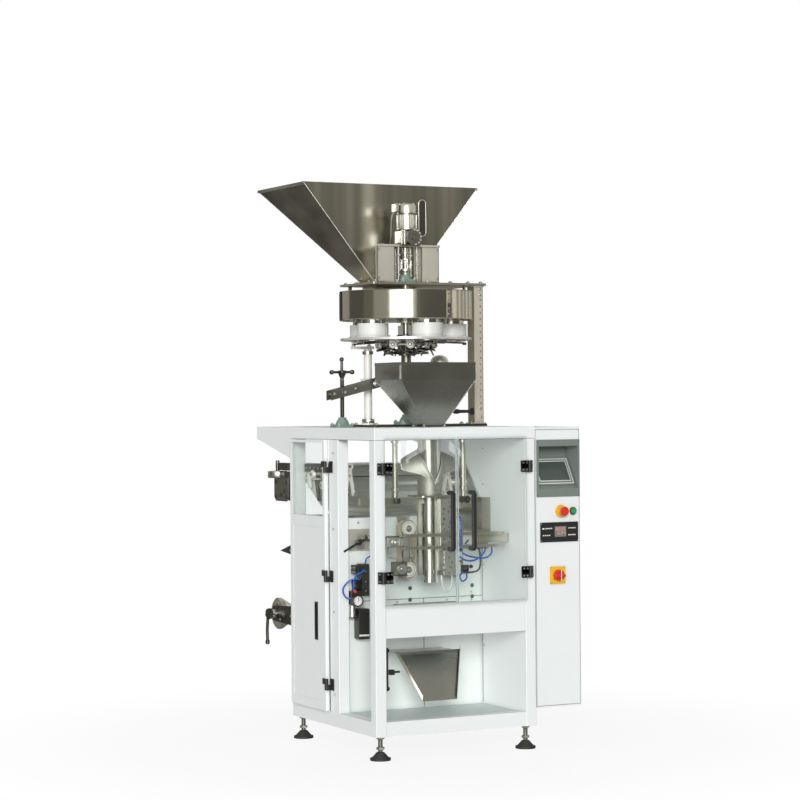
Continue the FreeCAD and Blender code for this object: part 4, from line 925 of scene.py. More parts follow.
def collar_piece():
    """The forming collar: a sleeve cut to a V in front, and the shoulders that flare from the cut."""
    heights = ((0, 1158), (14, 1184), (30, 1212), (48, 1243), (63, 1266), (90, 1289), (117, 1303),
               (150, 1309), (180, 1310))
    foot, outer_r, inner_r = 1103, 53, 51.6

    def cut_height(turn):
        """Height of the cut at an angle from the front, in degrees."""
        turn = abs(turn)
        for (a, low), (b, high) in zip(heights, heights[1:]):
            if turn <= b:
                return low + (high - low) * (turn - a) / (b - a)
        return heights[-1][1]

    def on_sleeve(turn, r, z):
        """A point at an angle from the front, to the right when positive."""
        a = math.radians(turn - 90)
        return Vector((TUBE[0] + r * math.cos(a), TUBE[1] + r * math.sin(a), z))

    piece, edge = Piece(), Piece()
    steps = 96
    verts, faces = [], []
    for k in range(steps):
        turn = -180 + 360 * k / steps
        top = cut_height(turn)
        verts += [on_sleeve(turn, outer_r, foot), on_sleeve(turn, outer_r, top),
                  on_sleeve(turn, inner_r, top), on_sleeve(turn, inner_r, foot)]
    for k in range(steps):
        m = (k + 1) % steps
        for i in range(4):
            j = (i + 1) % 4
            faces.append([4 * k + i, 4 * m + i, 4 * m + j, 4 * k + j])
    piece.add(verts, faces)
    outer = ((0.0, (0, -56, 1151)), (0.22, (22, -54, 1170)), (0.45, (56, -36, 1194)), (0.7, (136, -6, 1214)),
             (0.85, (141, 4, 1258)), (1.0, (92, 22, 1283)))
    rows, cols = 28, 8
    for s in (-1, 1):
        grid = []
        for i in range(rows + 1):
            t = i / rows
            near = on_sleeve(s * 150 * t, 53.4, cut_height(150 * t))
            for (a, p), (b, q) in zip(outer, outer[1:]):
                if t <= b:
                    mid = Vector(p).lerp(Vector(q), (t - a) / (b - a))
                    break
            far = Vector((TUBE[0] + s * mid.x, TUBE[1] + mid.y, mid.z))
            for j in range(cols + 1):
                w = j / cols
                bulge = 4 * w * (1 - w) * 7.0 * math.sin(math.pi * min(1.0, t * 1.1))
                grid.append(near.lerp(far, w) + Vector((s * 0.2, -0.75, 0.6)) * bulge)
        n = cols + 1
        back = [p + Vector((-s * 0.5, 1.1, -0.8)) for p in grid]
        faces = []
        o = len(grid)
        for i in range(rows):
            for j in range(cols):
                a, b, c, d = i * n + j, i * n + j + 1, (i + 1) * n + j + 1, (i + 1) * n + j
                faces += [[a, b, c, d], [o + d, o + c, o + b, o + a]]
        rims = [(i * n + j, (i + 1) * n + j) for i in range(rows) for j in (0, cols)]
        rims += [(i * n + j, i * n + j + 1) for j in range(cols) for i in (0, rows)]
        faces += [[a, b, o + b, o + a] for a, b in rims]
        piece.add(grid + back, faces)
        edge.tube([on_sleeve(s * 150 * k / 30, 54.4, cut_height(5 * k)) for k in range(31)], 0.9, 6)
        edge.tube([grid[i * n + cols] for i in range(rows + 1)], 1.1, 6)
    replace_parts(piece.build("collar_sheet", "wing_steel", smooth=60), "forming_collar")
    # light steel edges along the cut and the shoulders: real rolled edges with a painted highlight
    edge.build("collar_edges", "highlight_steel")
    clip = Piece()
    clip.block(TUBE[0] - 9, TUBE[0] + 9, TUBE[1] - 58, TUBE[1] - 53, 1128, 1146, 1)
    for dx, z in ((-4, 1140), (5, 1133)):
        clip.cap_screw((TUBE[0] + dx, TUBE[1] - 58, z), FRONT, 3.2)
    clip.build("collar_clip", "zinc")


def unwind_details():
    """Rods, hanging arms, bearings and slide bar of the film carrier inside the upper frame."""
    rods, arms, bar, bolts = Piece(), Piece(), Piece(), Piece()
    for y, z, r in ((540, 1226, 8), (572, 1214, 6), (648, 1212, 7)):
        rods.tube([(56, y, z), (722, y, z)], r, 16)
    for x in (143, 635):
        outline = [(-13, 1243), (9, 1243), (13, 1190), (28, 1094), (14, 1094), (0, 1168), (-15, 1094),
                   (-28, 1094), (-14, 1190)]
        arms.slab([(x + dx, 534, z) for dx, z in outline], (0, 11, 0), 1)
        arms.ring((x - 1, 528, 1226), BACK, [(0, 8.2), (0, 17), (24, 17), (24, 8.2)], 24)
        for dx in (-21, 21):
            bolts.bolt((x + dx, 534, 1102), FRONT, 5)
        bolts.bolt((x, 534, 1184), FRONT, 5)
        rods.tube([(x - 30, 548, 1102), (x + 30, 548, 1102)], 5, 12)
    bar.block(41, 50, 548, 790, 1200, 1236, 1)
    bar.slab([(50, 650, 1186), (50, 700, 1186), (50, 664, 1072), (50, 640, 1072)], (-5, 0, 0), 0.6)
    for y, z in ((600, 1143), (700, 1190)):
        arms.lathe((50, y, z), LEFT, [(0, 24), (7, 24), (9, 20), (16, 17), (18, 9)], 24)
        bolts.bolt((32, y, z), LEFT, 6)
    arms.block(37, 50, 722, 752, 1128, 1188, 2)
    rods.tube([(42, 600, 1170), (42, 786, 1170)], 5, 12)
    for k in range(6):
        bolts.bolt((41, 566 + 40 * k, 1218), LEFT, 4)
    rods.build("unwind_rods", "chrome")
    arms.build("unwind_arms", "cast")
    bar.build("unwind_bar", "dark")
    bolts.build("unwind_bolts", "zinc")


def air_details():
    """Dial, fittings, tubes and lever of the air unit."""
    dial, rim, parts, blue, red = Piece(), Piece(), Piece(), Piece(), Piece()
    gauge_x, gauge_z = 70, 650
    rim.ring((gauge_x, 310, gauge_z), FRONT, [(0, 19), (0, 24.5), (5, 24.5), (6, 22), (2, 20)], 32)
    rim.block(69, 71, 303.2, 304.2, 648, 664, 0.3)
    dial.lathe((gauge_x, 310, gauge_z), FRONT, [(0, 20), (1.5, 20)], 32)
    for k in range(11):
        a = math.radians(225 - 27 * k)
        mark = [(gauge_x + rad * math.cos(a + t), 308.3, gauge_z + rad * math.sin(a + t))
                for rad, t in ((14, -0.04), (14, 0.04), (18, 0.03), (18, -0.03))]
        rim.slab(mark, (0, -0.6, 0), 0.2)
    rim.lathe((80, 360, 722), UP, [(0, 13), (2, 16), (18, 16), (20, 13)], 12)
    rim.build("gauge_rim", "black")
    dial.build("gauge_dial", "dial")
    parts.lathe((66, 360, 570), UP, [(0, 5), (4, 8), (8, 17), (62, 17)], 20)
    for z in (772.0, 790.0):
        parts.lathe((76, 350, z), LEFT, [(0, 8), (6, 8), (8, 5), (16, 5)], 6)
    for z in (690.0, 730.0, 775.0):
        parts.cap_screw((122, 340, z), FRONT, 3.6)
    back = Piece()
    back.block(64, 164, 386, 391, 862, 956, 0.8)
    back.build("lever_plate", "bracket_steel")
    parts.block(100, 132, 376, 388, 872, 930, 1.5)
    parts.build("air_fittings", "zinc")
    arm = Piece()
    arm.tube([(26, 358, 862), (70, 360, 884), (128, 362, 911)], 5, 12)
    arm.lathe((104, 376, 900), FRONT, [(0, 12), (16, 12), (18, 9)], 16)
    arm.lathe((75, 350, 712), FRONT, [(0, 6), (4, 11), (14, 11), (16, 8)], 16)
    arm.block(94, 138, 343.6, 346, 500, 592, 1)
    arm.build("air_lever", "black")
    tag = Piece()
    tag.block(92, 140, 342.6, 345.2, 492, 500, 0.6)
    tag.build("switch_band", "dial")
    blue.hose([(104, 352, 735), (80, 322, 742), (45, 330, 741), (20, 345, 712), (20, 352, 684),
               (34, 348, 662), (52, 340, 660)], 3.6)
    blue.hose([(122, 340, 806), (122, 330, 830), (135, 300, 850), (170, 270, 900)], 3.2)
    blue.build("air_tubes", "blue")
    red.lathe((66, 332, 690), FRONT, [(0, 7), (5, 7), (6, 5)], 16)
    red.build("lock_ring", "red")


def filler_details(fast):
    """Bolts, clamps, collars and springs of the cup filler."""
    r = fast.bolt_radius
    bolts = Piece()
    for x, y in ((225, 430), (225, 600), (225, 730), (330, 425), (480, 425), (600, 430), (690, 430),
                 (755, 430), (755, 600), (755, 730), (600, 730)):
        bolts.bolt((x, y, UPPER_TOP), UP, r)
    for xs, ys in (((250, 268, 510, 528), (446, 545)), ((277, 501), (565, 735))):
        for x in xs:
            for y in ys:
                bolts.bolt((x, y, FOOT_TOP), UP, r * 0.8)
    for x, y in ((222, 425), (222, 625), (758, 625), (560, 425), (700, 425)):
        bolts.bolt((x, y, PLATE_TOP), UP, r)
    for cx, cy, z, half in ((*SCREW, 1413, 33), (*SPIN, 1423, 36), (*SPIN, 2054, 29)):
        for sx in (-1, 1):
            for sy in (-1, 1):
                bolts.bolt((cx + sx * half, cy + sy * half, z), UP, r * 0.85)
    for z in (1440, 1480, 1990, 2015):
        bolts.bolt((746, 420, z), FRONT, r * 0.6)
    bolts.build("plate_bolts", "zinc")
    ring_trim()
    cup_trim(fast)
    linkage_trim(fast)
    motor_trim()
    column_trim()
    bracket_trim()
    hopper_trim()
    funnel_trim(fast)


def ring_trim():
    """Rolled beads, the joint strap and the rubber strip of the product ring."""
    wall = Piece()
    profile = [(0.4, 292), (0, 292.4), (0, 295.6), (1.0, 296.4), (2.4, 295.9), (3.2, 294), (124.8, 294),
               (125.6, 295.9), (127.0, 296.4), (128, 295.6), (128, 292.4), (127.6, 292)]
    wall.ring((*SPIN, 1872), UP, profile, 240)
    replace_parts(wall.build("ring_wall", "polish", smooth=50), "product_ring")
    bead = Piece()
    joint = -78.0
    low, high = 1876, 1994
    for turn, half, deep in ((joint, 9.0, 2.6), (joint + 4.6, 1.4, 1.2)):
        (xa, ya, _), (xb, yb, _) = [spun((SPIN[0] + 294.2, SPIN[1], low), turn + math.degrees(t / 294))
                                    for t in (-half, half)]
        outline = [(xa, ya, low), (xb, yb, low), (xb, yb, high), (xa, ya, high)]
        bead.slab(outline, Vector(polar((0, 0), 1, turn, 0)) * deep, 0.6)
    bead.build("ring_beads", "polish", smooth=50)
    screws = Piece()
    for z in (1890, 1915, 1955, 1982):
        screws.cap_screw(spun((SPIN[0] + 296.6, SPIN[1], z), joint), polar((0, 0), 1, joint, 0), 3.6)
    screws.build("ring_screws", "zinc")
    strip = Piece()
    outer, inner = 296.0, 294.2
    verts, faces = [], []
    steps = 10
    for k in range(steps + 1):
        turn = -196.0 - 8.0 * k / steps
        for rad in (inner, outer):
            for z in (1878.0, 1992.0):
                verts.append(spun((SPIN[0] + rad, SPIN[1], z), turn))
    for k in range(steps):
        b, c = 4 * k, 4 * (k + 1)
        faces += [[b + 2, b + 3, c + 3, c + 2], [b + 1, b, c, c + 1], [b + 3, b + 1, c + 1, c + 3],
                  [b, b + 2, c + 2, c]]
    faces += [[0, 1, 3, 2], [4 * steps + 2, 4 * steps + 3, 4 * steps + 1, 4 * steps]]
    strip.add(verts, faces)
    strip.build("ring_strip", "rubber")


def cup_trim(fast):
    """Screws and pull springs of the cups, flaps and discs, and collars on the spindle."""
    white_screws, flap_bits, springs, hub = Piece(), Piece(), Piece(), Piece()
    coils, steps, coil_radius = 12, 96, 4.6
    for i in range(CUPS):
        turn = 72.0 * i - 90.0

        def at(out, side, z):
            """A point out from the spindle through this cup, and beside that line."""
            return Vector(spun((SPIN[0] + out, SPIN[1] + side, z), turn))

        cup = spun((SPIN[0] + CUP_CIRCLE, SPIN[1], 1800), turn)
        for k in range(4):
            white_screws.cap_screw(polar(cup, 71.8, 45 + 90 * k + turn, 1800), UP, 2.8)
        for side in (-15, 15):
            flap_bits.bolt(at(124, side, 1759), DOWN, fast.bolt_radius * 0.75)
        flap_bits.tube([at(134, 0, 1776), at(262, 0, 1771)], 4, 10)
        flap_bits.lathe(at(264, 0, 1771), DOWN, [(-3, 6), (0, 9), (6, 9), (9, 6)], 16)
        start = at(70, 18, 1742)
        along = at(136, 24, 1768) - start
        u, v = around(along)[:2]
        coil = []
        for k in range(steps + 1):
            t = k / steps
            a = 2 * math.pi * coils * t
            coil.append(start + along * t + u * (coil_radius * math.cos(a)) + v * (coil_radius * math.sin(a)))
        springs.tube(coil, 1.1, 6)
    white_screws.build("cup_screws", "zinc", ride="lower_cups")
    flap_bits.build("flap_pins", "dark", ride="lower_cups")
    springs.build("flap_springs", "zinc", ride="lower_cups")
    hub.ring((*SPIN, 1795), UP, [(0, 14.2), (0, 40), (3, 42), (9, 42), (12, 40), (12, 14.2)], 36)
    for k in range(6):
        hub.cap_screw(polar(SPIN, 32, 60 * k, 1807), UP, 4)
    hub.build("disc_hub", "zinc", ride="lower_cups")
    collars = Piece()
    for z, rad in ((1478, 24), (1560, 22), (1906, 34)):
        profile = [(0, 14.1), (0, rad - 1.5), (1.5, rad), (14, rad), (15.5, rad - 1.5), (15.5, 14.1)]
        collars.ring((*SPIN, z), UP, profile, 32)
        collars.cap_screw((SPIN[0], SPIN[1] - rad, z + 8), FRONT, 4)
    collars.build("spindle_collars", "zinc", ride="rotor")
    rim = Piece()
    for i in range(CUPS):
        cup = spun((SPIN[0] + CUP_CIRCLE, SPIN[1], 1894), 72.0 * i - 90.0)
        rim.ring(cup, UP, [(0, 53.3), (0, 58), (1.6, 57), (1.6, 53.3)], 40)
    rim.build("cup_rims", "polish", ride="rotor")


def linkage_trim(fast):
    """Bosses, plates and tie rods of the flap gear under the lower disc, the guard dome and the gland."""
    plates, bosses, bolts, dark = Piece(), Piece(), Piece(), Piece()
    for i in range(CUPS):
        turn = 72.0 * i - 54.0

        def at(along, side, z):
            """A point out from the spindle and beside the spoke of this gap."""
            return Vector(spun((SPIN[0] + along, SPIN[1] + side, z), turn))

        out = at(1, 0, 0) - at(0, 0, 0)
        for side in (-38, 38):
            outline = [at(118, side - 19, 1783), at(118, side + 19, 1783)]
            for k in range(9):
                a = math.pi * k / 8
                outline.append(at(118, side + 19 * math.cos(a), 1762 - 17 * math.sin(a)))
            plates.slab(outline, out * 5.0, 0.8)
            bosses.lathe(at(123, side, 1764), out, [(0, 15), (6, 15), (7.5, 13.5), (7.5, 8), (4, 8)], 28)
            dark.lathe(at(126, side, 1764), out, [(0, 8), (1.5, 8)], 16)
            bolts.lathe(at(127, side, 1764), out, [(0, 5), (5, 5), (6, 4)], 6)
        bosses.tube([at(114, -57, 1764), at(114, 57, 1764)], 5, 12)
        for side, tone in ((-1, plates), (1, dark)):
            tone.slab([at(116, side * 34, 1756), at(122, side * 26, 1748), at(58, -side * 22, 1720),
                       at(52, -side * 14, 1728)], (0, 0, 3.5), 0.6)
            dark.slab([at(84, side * 52, 1743), at(126, side * 44, 1733), at(132, side * 18, 1741),
                       at(98, side * 12, 1751)], (0, 0, 2.4), 0.5)
        dark.tube([at(96, 40, 1752), at(108, 56, 1716)], 3.4, 12)
        for k in range(3):
            bolts.bolt(at(76 + 16 * k, 10 * (k % 2), 1783), DOWN, fast.bolt_radius * 0.6)
        bolts.tube([at(62, 24, 1716), at(118, -24, 1748)], 3.0, 10)
        bolts.lathe(at(118, -24, 1748), out, [(-6, 6), (0, 7.5), (6, 6)], 14)
        for r in (214, 236):
            c = at(r, 0, 0)
            plates.block(c.x - 7, c.x + 7, c.y - 7, c.y + 7, 1772, 1783, 1)
    plates.build("flap_plates", "cast", ride="lower_cups")
    bosses.build("flap_bosses", "cast", ride="lower_cups")
    bolts.build("flap_bolts", "zinc", ride="lower_cups")
    dark.build("flap_links", "dark", ride="lower_cups")
    dome = Piece()
    dome.lathe((622, 580, 1684), UP, [(0, 42), (10, 41), (22, 36), (31, 27), (36, 15), (38, 3)], 32)
    dome.lathe((622, 580, PLATE_TOP), UP, [(0, 22), (8, 22), (10, 9), (274, 9)], 16)
    dome.build("guard_dome", "alu")
    gland = Piece()
    profile = [(0, 15), (8, 15), (10, 8), (30, 7), (70, 8), (74, 11), (92, 11), (98, 7), (124, 5)]
    gland.lathe((714, 438, 1466), LEFT, profile, 20)
    gland.build("column_gland", "black")


def motor_trim():
    """Body, cooling fins, cover screws, flange bolts and lead of the geared motor."""
    body, screws, dark, fins = Piece(), Piece(), Piece(), Piece()
    body.block(356, 438, 420, 502, 2208, 2276, 8)
    body.lathe((*MOTOR, 2276), UP, [(0, 45), (4, 45), (5, 39), (66, 39), (67, 44), (72, 44)], 40)
    body.lathe((*MOTOR, 2348), UP, [(0, 42), (34, 42), (40, 38), (43, 28), (43.5, 4)], 40)
    body.block(334, 352, 440, 482, 2352, 2390, 3)
    for k in range(24):
        u, v = (Vector(polar((0, 0), 1, 15 * k + turn, 0)) for turn in (0, 90))
        base = Vector((*MOTOR, 2282)) + u * 38.5
        outline = [base - v * 1.2, base + u * 5.8 - v * 0.8, base + u * 5.8 + v * 0.8, base + v * 1.2]
        fins.slab(outline, (0, 0, 59), 0.3)
    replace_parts(body.build("motor_body", "alu"), "gear_motor")
    fins.build("motor_fins", "alu")
    dark.lathe((410, 420, 2240), FRONT, [(0, 37), (9, 37), (12, 34), (12, 15), (15, 13)], 36)
    dark.ring((*MOTOR, 2343), UP, [(0, 39.2), (0, 45), (5, 45), (5, 39.2)], 40)
    dark.block(345, 443, 412, 508, 2203, 2209, 2)
    dark.hose([(336, 458, 2354), (326, 464, 2330), (326, 470, 2280), (330, 480, 2240), (336, 500, 2206)], 4)
    dark.build("motor_dark", "bar_steel")
    for k in range(7):
        a = math.radians(-75 + 27 * k)
        screws.bolt((410 + 33 * math.cos(a), 409, 2240 + 33 * math.sin(a)), FRONT, 4.4)
    for x in (350, 364):
        screws.tube([(x, 414, 2208), (x, 414, 2272)], 4, 12)
    for z in (2360, 2382):
        screws.cap_screw((343, 440, z), FRONT, 2.6)
    for k in range(4):
        screws.cap_screw(polar(MOTOR, 32, 45 + 90 * k, 2390.6), UP, 3.4)
    for x in (243, 535):
        for z in (2060, 2186):
            screws.cap_screw((x, 430, z), FRONT, 3.6)
    for x in (292, 486):
        screws.bolt((x, 490, 2208), UP, 6)
    screws.build("drive_screws", "zinc")


def column_trim():
    """The open channel of the column, with its foot, head, web and slots; the web's darker steel and the dark
    slot marks are painted shade.
    """
    post, web, slots = Piece(), Piece(), Piece()
    low, high = PLATE_TOP, 2031
    for x0, x1, y0, y1 in ((716, 760, 420, 424), (756, 760, 420, 482), (716, 760, 478, 482)):
        post.block(x0, x1, y0, y1, low, high, 0.6)
    post.block(706, 770, 414, 490, low, low + 6, 1)
    post.block(712, 766, 416, 486, high - 6, high, 1)
    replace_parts(post.build("column_channel", "column_steel"), "column")
    # the web takes a dark copy of the column steel: painted shade of the channel's left face
    web.block(714, 717, 421, 482, low + 6, high - 6, 0.6)
    web.build("column_web_shaded", "web_shade_steel")
    # dark marks for the slots: painted shade inside them
    for k in range(18):
        slots.block(744, 749, 419.4, 420.2, 1470 + 29 * k, 1478 + 29 * k, 0.2)
    slots.build("column_slots", "bar_steel")


def bracket_trim():
    """The motor bracket of bent plates, its tie rods with nuts, and the coupling inside."""
    bracket, rods, small, nuts = Piece(), Piece(), Piece(), Piece()
    for s in (-1, 1):
        xo, xi = SPIN[0] + s * 154, SPIN[0] + s * 66
        for xa, xb, back, head in ((xo, xi, 434, 2198), (xo, xo - s * 4, 446, 2198),
                                   (xi, xi + s * 4, 505, 2198),
                                   (xo, xo - s * 40, 560, FOOT_TOP)):
            bracket.block(min(xa, xb), max(xa, xb), 430, back, UPPER_TOP, head, 0.6)
    bracket.block(231, 547, 426, 440, 2198, 2208, 1)
    bracket.block(285, 493, 438, 505, 2198, 2207, 1)
    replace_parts(bracket.build("drive_bracket", "bracket_steel"), "motor_bracket")
    for x, y in ((345, 440), (438, 440), (352, 485), (430, 488)):
        rods.tube([(x, y, FOOT_TOP), (x, y, 2200)], 4.5, 14)
        for z in (2070, 2118, 2160):
            nuts.ring((x, y, z), UP, [(0, 4.7), (0, 9), (6, 9), (6, 4.7)], 6)
    rods.build("bracket_ties", "chrome")
    nuts.build("tie_nuts", "zinc")
    for z, r in ((2076, 17), (2092, 30), (2098, 20), (2128, 20), (2140, 26), (2170, 18)):
        small.ring((*SPIN, z), UP, [(0, 14.2), (0, r), (6, r), (6, 14.2)], 24)
    for k in range(6):
        small.tube([polar(SPIN, 24, 60 * k + 20, z) for z in (2092, 2144)], 2.6, 8)
    small.build("drive_coupling", "zinc", ride="rotor")


def hopper_trim():
    """Folded rim and welded corners in light steel that paints their highlight, and the glazed window of the
    hopper, drawn as a dark sheet of painted shade with a light edge.
    """
    rim, edge, dark = Piece(), Piece(), Piece()
    z = HOPPER_TOP
    # the folded rim in light steel: a real rim with a painted highlight
    for x0, x1, y0, y1 in ((-44, 822, 588, 594), (-44, 822, 1076, 1082), (-46, -41, 594, 1076),
                           (819, 824, 594, 1076)):
        rim.block(x0, x1, y0, y1, z - 13, z - 0.4, 1.5)
    corners = (((-47.5, 585), (302, 585)), ((825.5, 585), (476, 585)), ((-47.5, 1084), (302, 715)),
               ((825.5, 1084), (476, 715)))
    high, low, steps = 2484, FOOT_TOP, 12
    for (xa, ya), (xb, yb) in corners:
        pts = []
        for k in range(steps + 1):
            t = k / steps
            pts.append(Vector((xa + (xb - xa) * t, ya + (yb - ya) * t, high - (high - low) * t)))
        # corner welds as light lines: real welds with a painted highlight
        rim.tube([p + Vector((0, 0.6, 0)) for p in pts], 1.6, 6)
    rim.build("hopper_rim", "highlight_steel")
    x, z, half, w, sides = 540.0, 2341.0, 85.0, 21.0, 24

    def window(inset, y, count):
        """Points round the window, inside its edge."""
        pts = []
        for k in range(count):
            a = 2 * math.pi * k / sides
            end = (half - w) * (1 if math.sin(a) > 0 else -1)
            pts.append((x + (w - inset) * math.cos(a), y, z + end + (w - inset) * math.sin(a)))
        return pts

    # a dark sheet where the window shows the shaded inside: painted shade
    dark.slab(window(6, 581.2, sides), (0, -0.8, 0), 0.3)
    dark.build("window_painted_shade", "dark")
    # the window's edge in light steel: a real frame with a painted highlight
    edge.tube(window(3, 580.6, sides + 1), 1.6, 8)
    edge.build("window_edge", "highlight_steel")


def funnel_trim(fast):
    """Folded top edge, corner welds and seat bolts of the discharge funnel, and a light strip of painted
    highlight.
    """
    edge, bolts = Piece(), Piece()
    for x0, x1, y0, y1 in ((205.6, 572.4, 148.6, 151.4), (205.6, 572.4, 403.6, 406.4),
                           (205.6, 208.4, 151, 404), (569.6, 572.4, 151, 404)):
        edge.block(x0, x1, y0, y1, 1670, 1681.5, 0.8)
    for (xa, ya), (xb, yb) in (((207, 150), (345, 201)), ((571, 150), (433, 201)), ((207, 405), (345, 289)),
                               ((571, 405), (433, 289))):
        edge.tube([(xa, ya, 1605), ((xa + xb) / 2, (ya + yb) / 2, 1502.5), (xb, yb, 1402)], 1.5, 6)
    edge.build("funnel_edges", "funnel_steel")
    # a light strip on the funnel side: painted highlight
    strip = Piece()
    strip.block(205.6, 207.2, 153, 168, 1607, 1669, 0.4)
    strip.build("funnel_highlight_strip", "highlight_steel")
    for sx in (-1, 1):
        for sy in (-1, 1):
            bolts.bolt((TUBE[0] + sx * 50, TUBE[1] + sy * 50, 1403), UP, fast.bolt_radius * 0.8)
    bolts.build("funnel_bolts", "zinc")


def adjuster_details():
    """Nuts, thread, spring and balls of the volume adjuster."""
    screw, lever, post = Piece(), Piece(), Piece()
    profile = [(0, 8.4)]
    for k in range(40):
        profile += [(k * 4.0 + 0.8, 8.4), (k * 4.0 + 2.0, 10.0), (k * 4.0 + 3.2, 8.4)]
    screw.lathe((*SCREW, 1446), UP, profile, 18)
    for turn in (5, 125, 245):
        screw.lathe(polar(SCREW, 42, turn, 1643), polar((0, 0), 1, turn, 0),
                    [(0, 6), (2, 8), (7, 10), (13, 10), (18, 7), (20, 3)], 16)
    screw.lathe((67, 449, 1690), UP, [(0, 6), (3, 8.5), (8, 10), (14, 8.5), (18, 4)], 16)
    screw.build("handle_knobs", "dark", ride="volume_screw")
    for y, d in ((430, -1), (484, 1)):
        for x, z, r in ((300, 1611, 7), (130, 1569, 7), (28, 1546, 8), (352, 1622, 6)):
            lever.bolt((x, y, z), (0, d, 0), r)
    lever.build("lever_bolts", "bar_steel", ride="lever")
    post.bolt((224, 424, 1592), FRONT, 11)
    post.bolt((224, 494, 1757), UP, 8)
    post.ring((*POST, 1418), UP, [(0, 18.2), (0, 27), (2, 28), (16, 28), (18, 27), (18, 18.2)], 30)
    post.ring((*POST, 1722), UP, [(0, 18.2), (0, 24), (14, 24), (14, 18.2)], 30)
    post.bolt((224, 480.5, 1428), FRONT, 5)
    post.build("post_fittings", "zinc")


def carriage_details():
    """Slides, bolts, roller cover and tension wheel of the film carriage."""
    dark, bright = Piece(), Piece()
    dark.lathe((10, 1010, 1160), LEFT, [(0, 14), (8, 14), (10, 10)], 24)
    dark.block(-14, 12, 850, 966, 1204, 1238, 3)
    dark.block(-10, 10, 858, 900, 1120, 1200, 2)
    for y, z, r in ((880, 1120, 8), (930, 1120, 8), (985, 1120, 8), (870, 545, 8), (960, 545, 8),
                    (870, 842, 7)):
        bright.bolt((10, y, z), LEFT, r)
    dark.build("carriage_fittings", "dark")
    bright.build("carriage_bolts", "zinc")
    cover, wheel = Piece(), Piece()
    cover.slab([(-8, 851, 1172), (-8, 1003, 1172), (-8, 1003, 1082), (-8, 985, 1064), (-8, 869, 1064),
                (-8, 851, 1082)], (-6, 0, 0), 1)
    for y, z in ((872, 1150), (982, 1150), (890, 1110), (930, 1094), (872, 1086), (982, 1086)):
        cover.bolt((-14, y, z), LEFT, 6)
    for y, z in ((872, 1086), (982, 1086), (872, 1150), (982, 1150)):
        cover.lathe((10, y, z), LEFT, [(0, 7), (18, 7)], 16)
    cover.lathe((-4, 985, 1150), UP, [(0, 9), (96, 9), (98, 7)], 20)
    cover.build("roller_cover", "bar_steel")
    wheel.ring((-4, 985, 1168), UP,
               [(0, 26), (0, 42), (5, 45), (27, 45), (32, 42), (32, 26), (14, 22), (14, 9)], 40)
    wheel.build("tension_wheel", "zinc")


def roll_shaft_details():
    """Chuck flange and grip on the film shaft, and the web guides in front of it."""
    chuck, grip, web = Piece(), Piece(), Piece()
    chuck.ring((34, ROLL_Y, ROLL_Z), LEFT, [(0, 20.2), (0, 70), (4, 72), (16, 72), (20, 68), (20, 20.2)], 36)
    for k in range(3):
        a = math.radians(90 + 120 * k)
        chuck.bolt((14, ROLL_Y + 48 * math.cos(a), ROLL_Z + 48 * math.sin(a)), LEFT, 7)
    chuck.build("chuck_flange", "zinc", ride="film_shaft")
    grip.lathe((-16, ROLL_Y, ROLL_Z), LEFT, [(0, 20), (4, 27), (18, 27), (22, 22)], 6)
    grip.tube([(-28, ROLL_Y, ROLL_Z), (-32, 1046, 520), (-32, 1052, 470), (-30, 1054, 420)], 7, 12)
    grip.lathe((-30, 1054, 424), DOWN, [(0, 7), (3, 10), (16, 10), (20, 6)], 16)
    grip.build("shaft_grip", "dark", ride="film_shaft")
    web.block(60, 130, 560, 566, 1020, 1190, 1)
    for z in (1040, 1110, 1170):
        web.block(70, 120, 540, 560, z, z + 16, 2)
    web.build("web_guides", "dark")


def lower_details():
    """Chute side flanges and the upright rod beside it."""
    rod = Piece()
    rod.tube([(85, 65, 285), (85, 65, 468)], 5.5, 14)
    for z in (288, 450):
        rod.block(50, 94, 57, 73, z, z + 14, 2)
    rod.block(96, 118, 56, 76, 352, 375, 2)
    rod.tube([(94, 65, 364), (144, 65, 364)], 4.5, 12)
    rod.build("guard_rod", "black")
    lip = Piece()
    for s, x0, x1 in ((-1, 204, 277), (1, 514, 441)):
        lip.slab([(x0, 205, 421), (x0, 207, 445), (x1, 103, 246), (x1, 105, 225)], (s * 2.0, 0, 0), 0.5)
    lip.build("chute_lips", "steel")


# Settings


class FillerLook(PropertyGroup):
    """Colours and roughness of the main finishes."""
    paint_colour: FloatVectorProperty(
        name="Paint", description="Colour of the painted sheet", subtype="COLOR",
        default=(0.765, 0.79, 0.785), min=0.0, max=1.0)
    paint_rough: FloatProperty(
        name="Paint roughness", description="Roughness of the painted sheet", default=0.42, min=0.0, max=1.0)
    steel_rough: FloatProperty(
        name="Steel roughness", description="Roughness of the stainless sheet", default=0.30, min=0.0,
        max=1.0)
    clear_tint: FloatVectorProperty(
        name="Clear tint", description="Colour of the clear door sheet", subtype="COLOR",
        default=(0.975, 0.992, 0.985), min=0.0, max=1.0)


class FillerFasteners(PropertyGroup):
    """Sizes of the fasteners, in machine millimetres."""
    bolt_radius: FloatProperty(
        name="Bolt", description="Half the width of a bolt head, millimetres", default=8.0, min=2.0, max=20.0)
    screw_radius: FloatProperty(
        name="Screw", description="Radius of a small screw head, millimetres", default=4.2, min=1.0, max=10.0)


